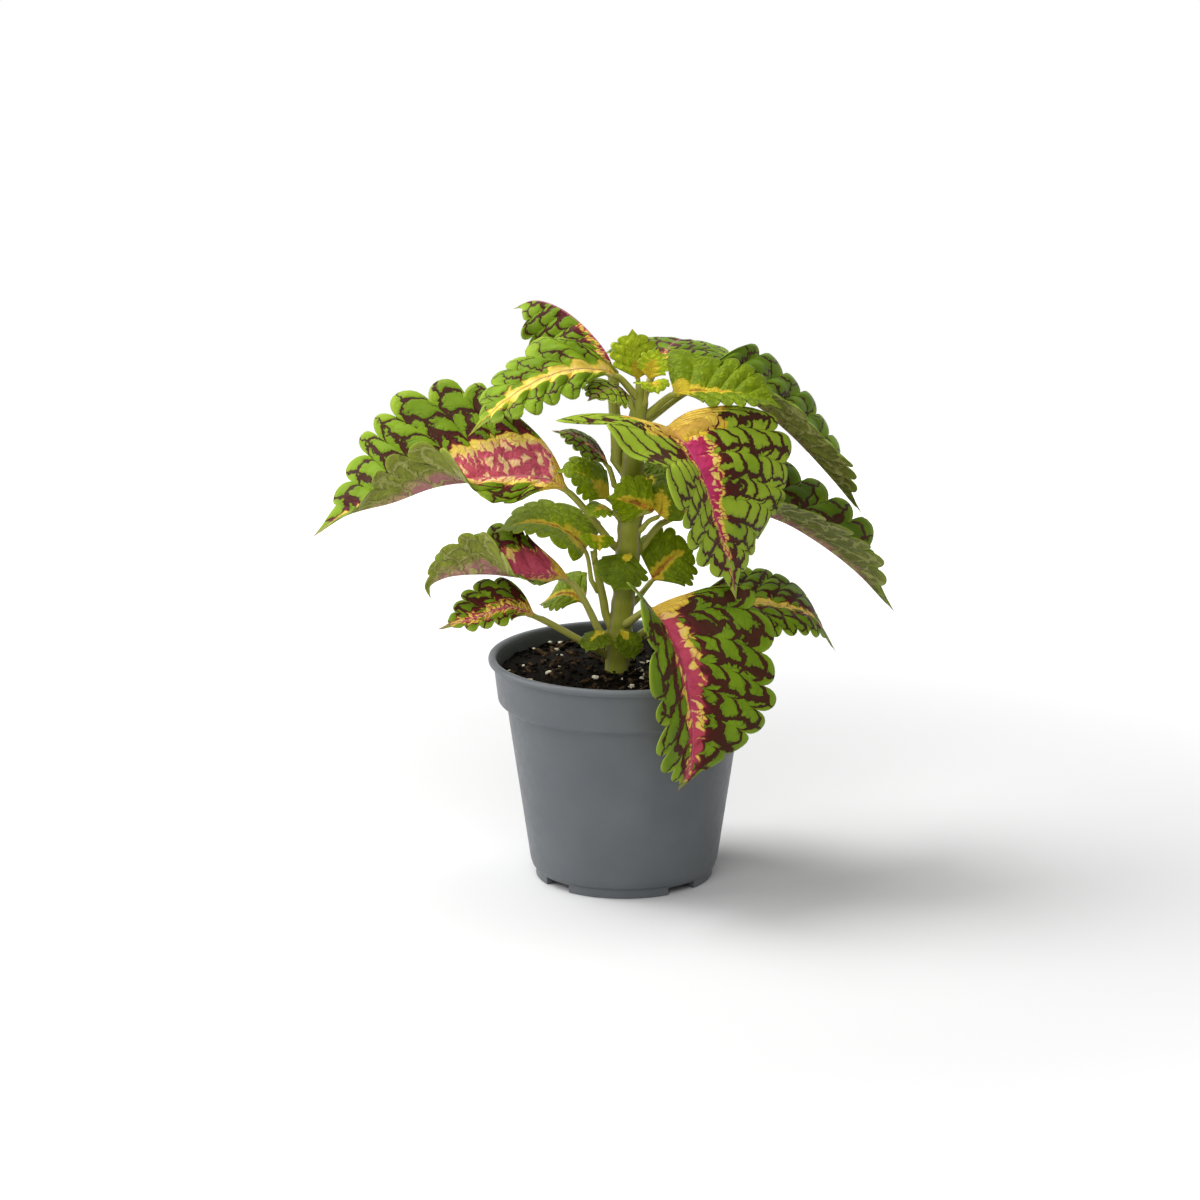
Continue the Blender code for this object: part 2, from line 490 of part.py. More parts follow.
def build_leaf(spec):
    blade = Blade(spec)
    big = spec["kind"] == "mature" and spec["lobes"] > 5
    half = 3 if big else 2
    count = 2 * (2 * half + 1)
    # rows along the midrib: notch, lobe, lobe for every lobe, then the plain tip
    phases = (0.0, 0.25, 0.75) if big else (0.0, 0.5)
    span = 0.8 / spec["lobes"]
    rows = [span * (i + p) for i in range(spec["lobes"]) for p in phases]
    near = [0.0, 0.01, 0.022, 0.036, 0.06] if big else [0.0, 0.02, 0.06]
    rows = near + [t for t in rows if t > 0.07] + [0.8, 0.88, 0.95, 0.985]
    u = np.linspace(-1, 1, 2 * half + 1)
    rings = []
    # the petiole, cut upright where it meets the stem
    stalk = blade.stalk
    steps = 4 if big else 2
    picks = np.linspace(0, len(stalk) - 1, steps + 1).astype(int)[:-1]
    for i in picks:
        ahead = stalk[min(i + 6, len(stalk) - 1)] - stalk[max(i - 6, 0)]
        ahead /= np.linalg.norm(ahead)
        side = blade.across - ahead * (ahead @ blade.across)
        side /= np.linalg.norm(side)
        up = np.cross(ahead, side)
        ring = []
        for k in range(count):
            # right margin, over the top to the left margin, and back below
            if k <= 2 * half:
                a = math.pi * (1 - (k + 0.5) / (2 * half + 1))
            else:
                a = -math.pi * (k - 2 * half - 0.5) / (2 * half + 1)
            r = spec["petiole"] * (1.12 if i == 0 else 1.0)
            p = stalk[i] + r * (side * math.cos(a) + up * math.sin(a))
            if i == 0 and ahead @ blade.out > 0.5:
                # slide along the petiole into the upright plane beside the stem
                off = (p - blade.axis) @ blade.out - blade.start
                p = p - ahead * (off / (ahead @ blade.out))
            ring.append(p)
        rings.append(ring)
    # the blade: upper face from the right margin to the left, lower face back again
    for n, t in enumerate(rows):
        tt = np.full_like(u, t)
        left = blade.flat(abs(u), tt, 1)
        right = blade.flat(abs(u), tt, -1)
        x = np.where(u >= 0, left[0], right[0])
        y = np.where(u >= 0, left[1], right[1])
        x = np.where(abs(u) < 1e-9, 1e-6, x)
        mid = blade.bend(x, y)
        up = blade.normal(np.where(abs(u) < 1e-9, 0.3, x), y) + blade.normal(
            np.where(abs(u) < 1e-9, -0.3, x), y)
        up /= np.linalg.norm(up, axis=-1, keepdims=True)
        thick = (EDGE + (BLADE - EDGE) * (1 - abs(u) ** 2)) * (1.0 if big else 0.8)
        thick = thick * np.clip(abs(x).max() / 4.0, 0.4, 1)
        if t > 0.9:
            thick = thick * (1.0 - t) / 0.1
        upper = mid + up * thick[:, None] / 2
        lower = mid - up * thick[:, None] / 2
        rings.append(list(upper) + list(lower[::-1]))
    verts, faces = loft(rings, end_point=blade.rib[-1])
    return add_object(spec["name"], verts, faces, "leaf_" + spec["kind"])


def main():
    for obj in list(bpy.data.objects):
        bpy.data.objects.remove(obj)
    parts = [build_pot(), build_soil(), build_stem("main_stem", MAIN_STEM, 14),
             build_stem("side_shoot", SIDE_SHOOT, 7)]
    parts += [build_leaf(spec) for spec in LEAVES]
    corners = np.array([v.co for p in parts for v in p.data.vertices])
    middle = (corners.min(0) + corners.max(0)) / 2
    for part in parts:
        for v in part.data.vertices:
            v.co.x -= middle[0]
            v.co.y -= middle[1]


main()
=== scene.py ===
"""Coleus in a grey nursery pot, dressed on its CAD solids.

Each leaf is a sheet that hangs on its own midrib, as in the solids, with finer lobes, quilting
between the veins and a vein pattern. Sizes are in mm from the pot's axis and the floor, and
angles in degrees.
"""
from functools import partial
from math import atan2, cos, exp, pi, radians, sin, sqrt

import bmesh
import bpy
import numpy as np
from mathutils import Matrix, Vector, noise


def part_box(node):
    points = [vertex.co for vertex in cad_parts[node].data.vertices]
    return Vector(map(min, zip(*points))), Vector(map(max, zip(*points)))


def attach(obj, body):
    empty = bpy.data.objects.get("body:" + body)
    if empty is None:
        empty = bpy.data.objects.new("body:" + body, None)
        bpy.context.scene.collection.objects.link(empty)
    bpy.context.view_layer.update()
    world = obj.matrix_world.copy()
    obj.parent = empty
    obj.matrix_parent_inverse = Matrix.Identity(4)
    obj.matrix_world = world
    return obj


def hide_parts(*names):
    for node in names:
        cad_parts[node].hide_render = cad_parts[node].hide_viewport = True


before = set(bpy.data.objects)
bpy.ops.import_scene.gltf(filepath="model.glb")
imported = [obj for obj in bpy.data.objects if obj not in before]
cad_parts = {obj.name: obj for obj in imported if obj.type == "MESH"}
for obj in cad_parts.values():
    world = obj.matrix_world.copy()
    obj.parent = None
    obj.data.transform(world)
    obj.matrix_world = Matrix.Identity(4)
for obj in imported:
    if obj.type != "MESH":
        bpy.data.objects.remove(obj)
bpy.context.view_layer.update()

MM = 0.001
POT_LOW, POT_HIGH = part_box("pot")
AXIS = np.array([(POT_LOW.x + POT_HIGH.x) / 2, (POT_LOW.y + POT_HIGH.y) / 2, POT_LOW.z])

# ---- sizes of the solids, in mm ----
POT_HEIGHT = 87.5
RIM_RADIUS = 52.5
LIP_HEIGHT = 3.0
LIP_WIDTH = 2.6
BAND_TOP_RADIUS = 50.4
BAND_BOTTOM_RADIUS = 48.7
BAND_BOTTOM = 70.0
SHOULDER_RADIUS = 45.3
SHOULDER = 67.6
FOOT_EDGE_RADIUS = 36.4
FOOT_EDGE = 6.5
FOOT_RADIUS = 34.3
FOOT_INNER_RADIUS = 31.4
FOOT_HEIGHT = 3.2
FLOOR_TOP = 4.8
WALL = 1.3
NOTCHES = 4
NOTCH_WIDTH = 22.0
NOTCH_TURN = -49.5
DRAIN_RADIUS = 3.2
DRAIN_AT = 25.5
SOIL_LEVEL = 78.0
CLEAR = 0.3              # air between a stem and the petiole it carries

MAIN_STEM = [(-3, 0, SOIL_LEVEL + CLEAR, 5.0), (-2, 0, 95, 4.6), (0, 0, 112, 4.4),
             (1.5, 0, 130, 4.5), (3, 0, 160, 4.3), (4.5, 0, 178, 3.4), (6, 0, 188, 2.4),
             (6.5, 0, 194, 1.5)]
SIDE_SHOOT = [(-7.1, -0.8, 103.5, 1.7), (-8.0, -1.6, 109, 1.7), (-10.2, -2.8, 120, 1.5),
              (-12, -3, 129, 1.2)]
STEM_SQUARE = 0.05       # how much thicker the square stem is over its corners, as a share

# ---- shapes that only this script has ----
HEAP = 3.2               # how much higher the loose peat lies than the solid's bed
CRUMBS, CHIPS, GRAINS = 900, 240, 64
SOIL_RINGS = 40
ROUND = 144              # faces round the pot
POT_SHARP = 35           # edges of the pot bent by more than this stay sharp
THIN, THICK = 0.32, 0.62     # a blade at its margin and beside the midrib

# ---- floor and camera, in metres unless it says mm ----
FLOOR_HALF = 0.75
CAMERA_TILT = radians(14.6)
CAMERA_FAR = 1.60
CAMERA_AIM = np.array([-0.00935, 0.0, 0.1090])
CAMERA_LENS, CAMERA_SENSOR = 125.1, 36.0     # mm
LAMP_AIM = Vector((0, 0, 0.1))

# ---- leaves, as shares of the midrib's length ----
WIDEST = 0.22            # where a blade is widest
LOBED = 0.8              # how far its margins have lobes

# what a leaf has unless it says otherwise
LEAF = dict(stem=MAIN_STEM, fold=(0,), curl=(0,), roll=(0,), sway=None, joint=1, lobes=7,
            petiole=1.4, base=0.6, forward=0.14, taper=1.15, kind="mature", stalk=0.5, finger=2.0,
            blobs=0.0, heavy=1.0, quilt=1.0, deep=0.25, over=False)


def leaf(name, azimuth, route, width, zone, cream, shade, **own):
    """One leaf, as in the solids. route: (distance from the stem's axis, height) along the
    petiole and, from the point numbered joint, along the midrib; sway: how far each of these
    points lies to the left; width: left half and right half; fold and curl: one list of angles
    from base to tip for each half, or one for both; roll: one such list for the whole blade;
    petiole: its radius; base, forward and taper: how wide the blade starts, how far its first
    side veins lean to the tip, and how it narrows. Its colouring: look, when not that of its
    kind; zone, half width in mm of the magenta along the midrib, or one such list for each half;
    cream, how far the pale base reaches in mm; then its depth of green, 0 for a pale leaf and 1
    for a deep one, which also holds painted light: a leaf that faces the light is made paler and
    one that lies in shadow deeper; stalk, 0 for a green petiole and 1 for a whitish one; finger,
    width in mm of the cream fingers in the band; blobs, 0 where they only edge it and 1 where
    they fill it; heavy, how broad the dark veins are. Its relief: quilt, how much the sheet
    puckers between the veins; deep, how much deeper than the solid's its lobes are cut. over:
    true where it has turned over."""
    spec = {**LEAF, **own, "name": name, "azimuth": azimuth, "route": route, "width": width,
            "zone": zone, "cream": cream, "shade": shade}
    spec.setdefault("look", spec["kind"])
    for key in ("fold", "curl", "zone"):
        if not isinstance(spec[key][0], tuple):
            spec[key] = (spec[key], spec[key])
    return spec


young = partial(leaf, kind="young")
small = partial(young, lobes=4, petiole=1.0)

LEAVES = [      # name, azimuth, route, width, zone, cream, depth with painted light, and what else
    # the top of the plant
    leaf("leaf_top_front", -45,
         [(5, 166), (17.5, 179), (21, 178), (30, 171), (37, 162), (43, 148), (49.5, 134),
          (54, 119)],
         (38, 28), ((9, 8, 6, 3.5, 1.5, -1.5, -4), (3, 3, 2.5, 1.8, 0.6, -2, -4)), 26, 0,
         fold=((52, 26, 12, -14, -20), (24, 20, 32, 34, 28, 15, 8)),
         curl=((-20, -20, -20), (-25, -25, -20)), base=(0.9, 2.1), forward=(0.1, -0.33), deep=0.5),
    young("leaf_top_left", 207,
          [(2, 190), (11, 198), (28, 201.5), (44, 198.5), (59, 191), (73, 180)],
          (9, 15), (0.9, 1.1, 0.5, -4), 9, 0.45, fold=((-20, -20, -10), (70, 22, -5)),
          curl=((-20, -30, -20), (0, -10, -10)), lobes=6, look="mature", blobs=2.0, heavy=0.22,
          quilt=2.5, deep=0.3),
    leaf("leaf_top_back_left", 148,
         [(4, 160), (6.8, 168), (8.3, 185), (9.5, 200), (19, 211), (32, 219), (44, 221),
          (54, 217)], (19, 20), (3, -1, -4, -4), 4, 0.55, fold=((0, -50, -20), (-50, -60, -20)),
         curl=((-20, -30, -20), (-20, -50, -20)), joint=3, lobes=6, petiole=2.2, heavy=0.8),
    leaf("leaf_top_back_right", 72,
         [(3, 186), (16, 194), (30, 199), (45, 201), (60, 199), (74, 192)],
         (22, 20), (2, -4, -4), 8, 0.6, fold=((10, 10, 0), (0, 0, 0)),
         curl=((-20, -30, -20), (-10, -20, -20))),
    leaf("leaf_top_right_long", 25,
         [(3, 179), (26, 190), (46, 185), (65, 170), (84, 150), (98, 133)],
         (22, 20), (2, 0, -4), 8, 0.7, fold=((45, 54, 52, 50, 30), (22, 14, 12, 14, 10)),
         curl=((-10, -10, -10), (0, -10, 0)), base=(0.95, 0.9), heavy=0.5, quilt=2.2, deep=0.4),
    young("leaf_top_right_young", -5, [(3, 182), (14, 190), (28, 191), (42, 190), (55, 185)],
          (14, 8), (0.3, 0.2, -2, -4), 8, 0.65, fold=((44, 44, 30), (-8, -8, -5)),
          curl=((0, -10, -10), (-20, -20, -10)), lobes=6, base=(1.35, 0.6), forward=(-0.1, 0.14),
          stalk=0.3, quilt=2.2, deep=0.4),
    # the growing tip
    small("leaf_tip_back", 110, [(2, 191), (3.5, 195), (6.5, 204), (10, 213)],
          (9.5, 8), (-1.5,), 3, 0.0, fold=((25, 15, 0), (-10, -10, 0)), petiole=0.9, base=1.0,
          taper=1.0, quilt=3.0, deep=0.4),
    small("leaf_tip_right", 20, [(2, 191), (3.5, 195), (5, 201), (7, 207)], (5, 5), (-2,), 4, 0.0,
          fold=((20, 10, 0), (20, 10, -20)), roll=(60,), petiole=0.8, quilt=1.5),
    small("leaf_tip_front", -60, [(1.5, 187), (5, 192), (9, 195), (14, 192)],
          (6, 6), (-2,), 4, 0.1, fold=(30, 20, 0), curl=(0, -20, 0), petiole=0.8, quilt=1.5),
    young("leaf_tip_left", 225, [(2, 185), (6, 190), (16, 194), (28, 191)], (8, 8), (-4,), 3, 0.2,
          fold=((-30, -25, 0), (25, 20, 0)), curl=((0, -20, 0), (0, -10, 0)), lobes=5, petiole=1.0,
          look="mature", heavy=0.8),
    # half way up
    leaf("leaf_mid_left", 185,
         [(4, 130), (24, 153), (35, 158), (52, 158), (73, 156), (90, 150), (108, 145), (121, 136)],
         (18, 35), ((3, 3, 7, 5, 1, -1.5, -4), (14, 15, 12, 3, 0.7, -1.5, -4)), 17, 0.5,
         fold=((-40, -30, 0, 58, 52, 12, -10), (60, 60, 30)),
         curl=((-30, -20, 10, 0, -10), (0, -10, -10)), lobes=8, taper=1.3, stalk=0.6, finger=3.0,
         blobs=1.0, deep=0.8),
    leaf("leaf_mid_right", 20,
         [(2, 129), (15, 139), (45, 142), (63, 136), (79, 126), (97, 111), (112, 94)],
         (22, 20), (4, 3, 2, 1, -4), 14, 0.95, fold=((28, 40, 50, 62, 50), (15, 20, 22, 26, 10)),
         curl=((0, -10, -10), (0, -5, 0)), taper=1.05, deep=0.4),
    leaf("leaf_mid_back", 176, [(4, 153), (9, 162), (15, 168.5), (22.5, 173.5), (30.5, 175)],
         (8, 8), (-1, -2, -4), 2, 0.6, fold=((-15, -15, -10), (5, 5, 0)), lobes=5, petiole=1.1,
         heavy=1.3),
    young("leaf_bud_left", 185, [(4.5, 146), (8, 149), (15, 156.5), (22, 160), (29, 160)],
          (10, 10.5), (0.5, -1, -3), 7, 0.5, fold=((-25, -20, -5), (35, 35, 15)),
          curl=((-20, -20, 0), (-10, -10, 0)), lobes=5, petiole=1.1),
    small("leaf_bud_front", 265, [(5, 144), (9, 147), (12, 151), (13, 152.5)],
          (9, 10), (0.5, 0.5, -3), 3, 0.5, fold=((40, 35, 20), (10, 10, 0)),
          curl=((0, 0, 0), (-20, -20, 0)), sway=(3, 9, 1, -8), petiole=0.9, over=True),
    small("leaf_bud_front_low", 212, [(5, 142), (8, 145), (13, 147), (19, 144)],
          (6, 6), (0.3, 0, -3), 3, 0.5, fold=((-15, -15, -10), (10, 10, 0))),
    small("leaf_bud_back", 52, [(4, 143), (8, 148), (13, 155), (16, 162)],
          (11, 11), (0, -1, -3), 6, 0.9, fold=(15, 10, 0)),
    small("leaf_bud_right", -35, [(4, 137), (9, 141.5), (14, 144.5), (15.5, 151), (15, 158)],
          (9, 9), (0.3, 0, -3), 6, 0.8, fold=(10, 10, 0), curl=(0, -20, 0), roll=(90,), joint=2,
          base=0.9, forward=0.05),
    # low down
    leaf("leaf_low_left", 192,
         [(4, 95), (20, 118), (38, 121), (54, 123), (68, 122), (74, 118.5), (73, 113)],
         (18, 17), (9, 9, 6, 2, -4), 16, 0.5, fold=((0, 0, 10, 65, 65, 40), (55, 55, 25, 10)),
         stalk=0.8, finger=3.0, blobs=0.8, deep=0.5),
    young("leaf_shoot_left", 180, [(1, 116), (6, 130), (16, 138), (28, 140), (41, 136)],
          (11, 15), (0.6, 0.6, -3), 8, 0.5, stem=SIDE_SHOOT, fold=((-10, 0, 0), (30, 25, 10)),
          curl=((-20, -20, 0), (0, -10, 0)), lobes=6, petiole=0.9, base=1.0, forward=-0.1),
    small("leaf_shoot_right", -75, [(1, 127.5), (2, 134), (5, 136), (9, 131)],
          (6, 6), (-1,), 3, 0.5, stem=SIDE_SHOOT, fold=((10, 0, 0), (30, 20, 0)),
          curl=(-20, -20, 0), petiole=0.7),
    leaf("leaf_base_left", 200, [(4, 88), (34, 106), (44, 110), (58, 107), (73, 104)],
         (5, 13), (0.4, 0.8, 0.3, -4), 10, 0.6, fold=((-30, -20, -10), (48, 35, 20)),
         curl=((-20, -20, -10), (0, -10, -10)), lobes=5, base=0.8, taper=1.8, stalk=0.8,
         heavy=1.2),
    young("leaf_low_back", 160, [(4, 93), (14, 107), (22, 109.5), (33, 104)],
          (10, 13), (0.6, 0.6, 0), 4, 0.6, fold=((-10, -10, 0), (45, 35, 0)), curl=(-20, -20, 0),
          lobes=5, petiole=1.0),
    small("leaf_base_small", 230, [(4, 95), (9, 98), (15, 97), (20, 92)], (6, 6), (0, -2), 1, 0.9,
          fold=(10, 0, 0), curl=(-20, -20, 0)),
    leaf("leaf_low_right", 10, [(4, 93), (30, 107), (47, 106), (62, 104), (76, 99), (86, 84)],
         (19, 15), (0.6, 0.2, -0.5, -4), 10, 0.6, fold=((30, 30, 0), (0, -10, -10)),
         curl=((-10, -10, -10), (-20, -30, -20)), blobs=1.2),
    young("leaf_low_round", 20, [(4, 108), (12, 116), (20, 124), (30, 128)],
          (12, 12), (0.8, 0.6, -3), 4, 0.6, fold=(10, 10, 0), roll=(50,), lobes=5, petiole=1.1,
          deep=0.6),
    leaf("leaf_low_front", -64,
         [(5, 101), (25, 111), (29, 109.5), (45, 102.5), (54, 94), (59, 80), (60.5, 70), (58, 57),
          (49, 46)], (31, 21), (5, 5.5, 4.5, 2.5, 0.5, -4), 22, 0.6,
         fold=((44, 16, -10), (54, 56, 46, 42, 30, 15)), curl=((-10, -20, -20), (-10, -25, -20)),
         base=(1.0, 0.95), forward=(0.08, -0.05), stalk=0.9, finger=3.0, blobs=0.6, heavy=1.3,
         deep=0.5),
    small("leaf_low_small", 262, [(5, 125), (8, 129), (13, 126), (17, 116)],
          (9, 9), (-4,), 0.5, 0.9, curl=(-20, -20, 0), sway=(1, 2, 0, -3)),
    small("leaf_base_front", 284, [(5, 96), (9, 99), (13, 96), (16, 89)],
          (4.5, 4.5), (-4,), 0.5, 0.9, fold=(10, 10, 0), sway=(0, -1, 0, 2), petiole=0.9),
]


# ---- materials ----
# each kind of node: its type, and the settings that its name here stands for
PLUS, MINUS, TIMES, TIMES_PLUS, HIGHER, LOWER, SOFT_LOWER, SIZE, ZIGZAG = (
    ("ShaderNodeMath", {"operation": name}) for name in (
        "ADD", "SUBTRACT", "MULTIPLY", "MULTIPLY_ADD", "MAXIMUM", "MINIMUM", "SMOOTH_MIN",
        "ABSOLUTE", "PINGPONG"))
LENGTH = "ShaderNodeVectorMath", {"operation": "LENGTH"}
RANGE = "ShaderNodeMapRange", {}
SOFT_RANGE = "ShaderNodeMapRange", {"interpolation_type": "SMOOTHSTEP"}
MIX = "ShaderNodeMix", {"data_type": "RGBA"}
RAMP = "ShaderNodeValToRGB", {}
NOISE = "ShaderNodeTexNoise", {}
CELLS = "ShaderNodeTexVoronoi", {"voronoi_dimensions": "2D"}
EDGES = "ShaderNodeTexVoronoi", {"voronoi_dimensions": "2D", "feature": "DISTANCE_TO_EDGE"}
SPLIT, JOIN = ("ShaderNodeSeparateXYZ", {}), ("ShaderNodeCombineXYZ", {})
FIELD, COORDINATES = ("ShaderNodeAttribute", {}), ("ShaderNodeTexCoord", {})
BUMP, RAYS = ("ShaderNodeBump", {}), ("ShaderNodeLightPath", {})


def srgb(code):
    """an sRGB hex colour as linear light"""
    parts = [int(code[i:i + 2], 16) / 255 for i in (1, 3, 5)]
    return tuple(c / 12.92 if c <= 0.04045 else ((c + 0.055) / 1.055) ** 2.4
                 for c in parts) + (1,)


def output(node):
    """a node's first output in use"""
    return next(s for s in node.outputs if s.enabled)


def add_node(owner, kind, *values, stops=(), **named):
    """Adds one node to a material or world. values: its inputs in order; named: inputs, with a
    capital, and settings, without one, by name. An input is a value, a hex colour, a node or a
    socket. stops: a colour ramp's places and colours."""
    node = owner.node_tree.nodes.new(kind[0])
    for key, value in {**kind[1], **named}.items():
        if key.islower():
            setattr(node, key, value)
    if stops:
        ramp = node.color_ramp.elements
        ramp.remove(ramp[1])
        ramp[0].position = stops[0][0]
        for k, (place, tint) in enumerate(stops):
            (ramp.new(place) if k else ramp[0]).color = srgb(tint)
    sockets = [s for s in node.inputs if s.enabled]
    pairs = list(zip(sockets, values)) + [(s, named[s.name]) for s in sockets if s.name in named]
    for socket, value in pairs:
        if isinstance(value, bpy.types.Node):
            value = output(value)
        if isinstance(value, bpy.types.NodeSocket):
            owner.node_tree.links.new(value, socket)
        else:
            socket.default_value = srgb(value) if isinstance(value, str) else value
    return node


def start(name, **settings):
    """a new material with its shader's values by name, and the function that adds its nodes"""
    mat = bpy.data.materials.new(name)
    mat.use_nodes = True
    shader = mat.node_tree.nodes["Principled BSDF"]
    for key, value in settings.items():
        key = key.replace("_", " ").title().replace("Ior", "IOR")
        shader.inputs[key].default_value = srgb(value) if isinstance(value, str) else value
    return mat, partial(add_node, mat)


def finish_material(mat, **looks):
    """links nodes to the shader's inputs of the same names"""
    for key, node in looks.items():
        mat.node_tree.links.new(output(node), mat.node_tree.nodes["Principled BSDF"].inputs[
            key.replace("_", " ")])
    return mat


def leaf_fields(add):
    """what a leaf carries on its vertices: place (x and y in mm, which leaf), count of side veins,
    row of cells in from the margin, rim in mm, zone in mm, cream, depth of green with painted
    light, and two waverings"""
    place = add(FIELD, attribute_name="place").outputs["Vector"]
    veins, zones = (add(SPLIT, add(FIELD, attribute_name=name).outputs["Vector"])
                    for name in ("veins", "zones"))
    waver = add(NOISE, Vector=place, Scale=0.3, Detail=3, Roughness=0.5)
    tints = add(SPLIT, waver.outputs["Color"])
    # two waverings of every line, which run over about 3 mm
    steps = [add(MINUS, tints.outputs[k], 0.5) for k in (0, 1)]
    spot = add(JOIN, add(TIMES_PLUS, steps[0], 0.6, veins.outputs[0]),
               add(TIMES_PLUS, steps[1], 0.6, veins.outputs[1]), add(SPLIT, place).outputs["Z"])
    return place, spot, steps, veins.outputs[2], zones.outputs


def coleus_upper():
    """Living coleus leaf, upper face: soft matt skin, green cells in rows between dark wine-brown
    veins, a magenta band on the midrib edged with cream fingers, and a pale base."""
    mat, add = start("coleus leaf upper", roughness=0.5, specular_ior_level=0.1,
                     sheen_weight=0.04, sheen_roughness=0.25, sheen_tint="#dfe6cf")
    place, spot, steps, rim, (zone, cream, shade) = leaf_fields(add)
    x = add(SPLIT, place)
    broad = add(NOISE, Vector=place, Scale=0.09, Detail=1)
    thin, blobs, heavy = add(SPLIT, add(FIELD, attribute_name="finger").outputs["Vector"]).outputs
    # the cells: about 10 mm along the margin and 7 mm deep
    net = add(TIMES, add(EDGES, Vector=spot, Scale=1, Randomness=0.5), 7.5)
    cell = add(CELLS, Vector=spot, Scale=1, Randomness=0.5)
    cell = add(SPLIT, cell.outputs["Color"]).outputs[0]
    # half width of the veins between them in mm: widest beside the band, thin at the margin
    wide = add(TIMES, add(RANGE, zone, 0, 14, 1.5, 0.6), add(RANGE, broad, 0.3, 0.7, 0.6, 1.3))
    wide = add(TIMES, wide, heavy)
    wide = add(TIMES, wide, add(RANGE, rim, 0.2, 4, 0.25, 1))
    edge = add(MINUS, net, wide)
    # fine branches that run a millimetre or so from the veins into the cells
    fine = add(EDGES, Vector=place, Scale=0.3, Randomness=1)
    branch = add(TIMES_PLUS, fine, 3.3, add(TIMES, heavy, -0.12))
    branch = add(TIMES_PLUS, edge, add(RANGE, heavy, 1, 2, 0.5, 0.15), branch)
    branch = add(PLUS, branch, add(RANGE, rim, 0.5, 5, 0.5, 0))
    edge = add(SOFT_LOWER, edge, branch, 0.25)
    open_ = add(SOFT_RANGE, edge, -0.08, 0.22)
    # distance out from the band in mm; the band reaches about 2 mm farther along the veins
    out = add(PLUS, add(RANGE, net, 0, 2, -2, 0), zone)
    out = add(TIMES_PLUS, steps[0], 3.5, out)
    # the leaf's depth of green, which also holds painted light for the leaf as a whole
    tone = add(PLUS, add(RANGE, broad, 0.3, 0.7, -0.15, 0.15), shade)
    tone = add(PLUS, tone, add(RANGE, cell, 0, 1, -0.16, 0.16))
    green = add(RAMP, tone,
                stops=[(0, "#9ab22e"), (0.35, "#7e9c1c"), (0.7, "#668212"), (1, "#4c640c")])
    green = add(MIX, add(RANGE, rim, 0, 1.4, 0.45, 0), green, "#a3b444")
    green = add(MIX, add(RANGE, edge, 0, 0.9, 0.3, 0), green, "#4e5e14")
    dark = add(RAMP, add(RANGE, out, -1, 9),
               stops=[(0, "#a02a48"), (0.16, "#74202c"), (0.4, "#4a1a14"), (1, "#402010")])
    dark = add(MIX, add(RANGE, edge, -0.4, 0.1, 0, 0.5), dark, "#221006")
    outer = add(MIX, open_, dark, green)
    # cream fingers that point across the band, about 5 mm long where they are 2 mm wide
    along = add(TIMES, add(SPLIT, spot), add(TIMES, thin, 9))
    outward = add(TIMES, x, add(TIMES, thin, 0.36))
    finger = add(EDGES, Vector=add(JOIN, along, outward), Scale=1, Randomness=0.95)
    inner = add(TIMES_PLUS, blobs, -0.3, 0.5)
    need = add(RANGE, out, -5, -0.5, inner, add(TIMES_PLUS, blobs, -0.08, 0.07))
    need = add(TIMES, need, add(RANGE, cream, 0.1, 0.8, 1, 0.15))
    need = add(TIMES_PLUS, steps[1], 0.15, need)
    gaps = add(TIMES, blobs, add(RANGE, blobs, 0.7, 1, 1, 0))
    need = add(TIMES_PLUS, add(RANGE, broad, 0.42, 0.6, 0, 0.5), gaps, need)
    finger = add(RANGE, add(MINUS, finger, need), -0.03, 0.07)
    pale = add(RAMP, add(RANGE, out, -4, 3),
               stops=[(0, "#f0c890"), (0.45, "#f0d468"), (0.8, "#e4c238"), (1, "#c0ac2c")])
    band = add(RAMP, add(RANGE, out, -6, 3),
               stops=[(0, "#c83a6c"), (0.5, "#ba2c54"), (0.75, "#a0283c"), (1, "#6e2620")])
    band = add(MIX, add(TIMES, blobs, 0.6), band, "#c86666")
    band = add(MIX, add(RANGE, steps[0], -0.05, 0.2, 0, 0.4), band, "#962c54")
    band = add(MIX, finger, band, pale)
    colour = add(MIX, add(SOFT_RANGE, out, 0.6, 1.6), band, outer)
    # the pale base, whose border follows the cells, with thin red veins left in it
    vein = add(HIGHER, add(RANGE, edge, -0.7, 0.1, 0.85, 0),
               add(RANGE, fine, 0.02, 0.08, 0.75, 0))
    vein = add(TIMES, vein, add(RANGE, cream, 0.5, 1, 1, 0.4))
    base = add(RAMP, cream, stops=[(0, "#b0ae20"), (0.35, "#d8bc28"), (1, "#ecca50")])
    base = add(MIX, vein, base, "#9c3a34")
    soft = add(TIMES_PLUS, cell, -0.7, add(TIMES_PLUS, cream, 2, -0.5))
    soft = add(TIMES_PLUS, steps[1], 3.2, soft)
    soft = add(PLUS, soft, add(RANGE, net, 0, 1.5, -0.5, 0))
    colour = add(MIX, add(SOFT_RANGE, soft, 0.06, 0.16), colour, base)
    # the midrib, a line of under a millimetre, pale pink or, on leaves full of blobs, brown
    rib = add(MIX, add(RANGE, blobs, 1, 1.5), "#c97c8c", "#8e4a22")
    colour = add(MIX, add(RANGE, add(SIZE, x), 0.2, 0.5, 0.5, 0), colour, rib)
    # the cells stand up between the veins; a fine grain of 0.5 mm on the skin
    grain = add(NOISE, Vector=place, Scale=2, Detail=2)
    puff = add(SOFT_RANGE, add(LOWER, net, add(TIMES_PLUS, branch, 1.2, 0.5)), 0, 1.6)
    height = add(TIMES_PLUS, grain, 0.12, puff)
    bump = add(BUMP, Strength=0.5, Distance=0.6 * MM, Height=height)
    return finish_material(mat, Base_Color=colour, Normal=bump)


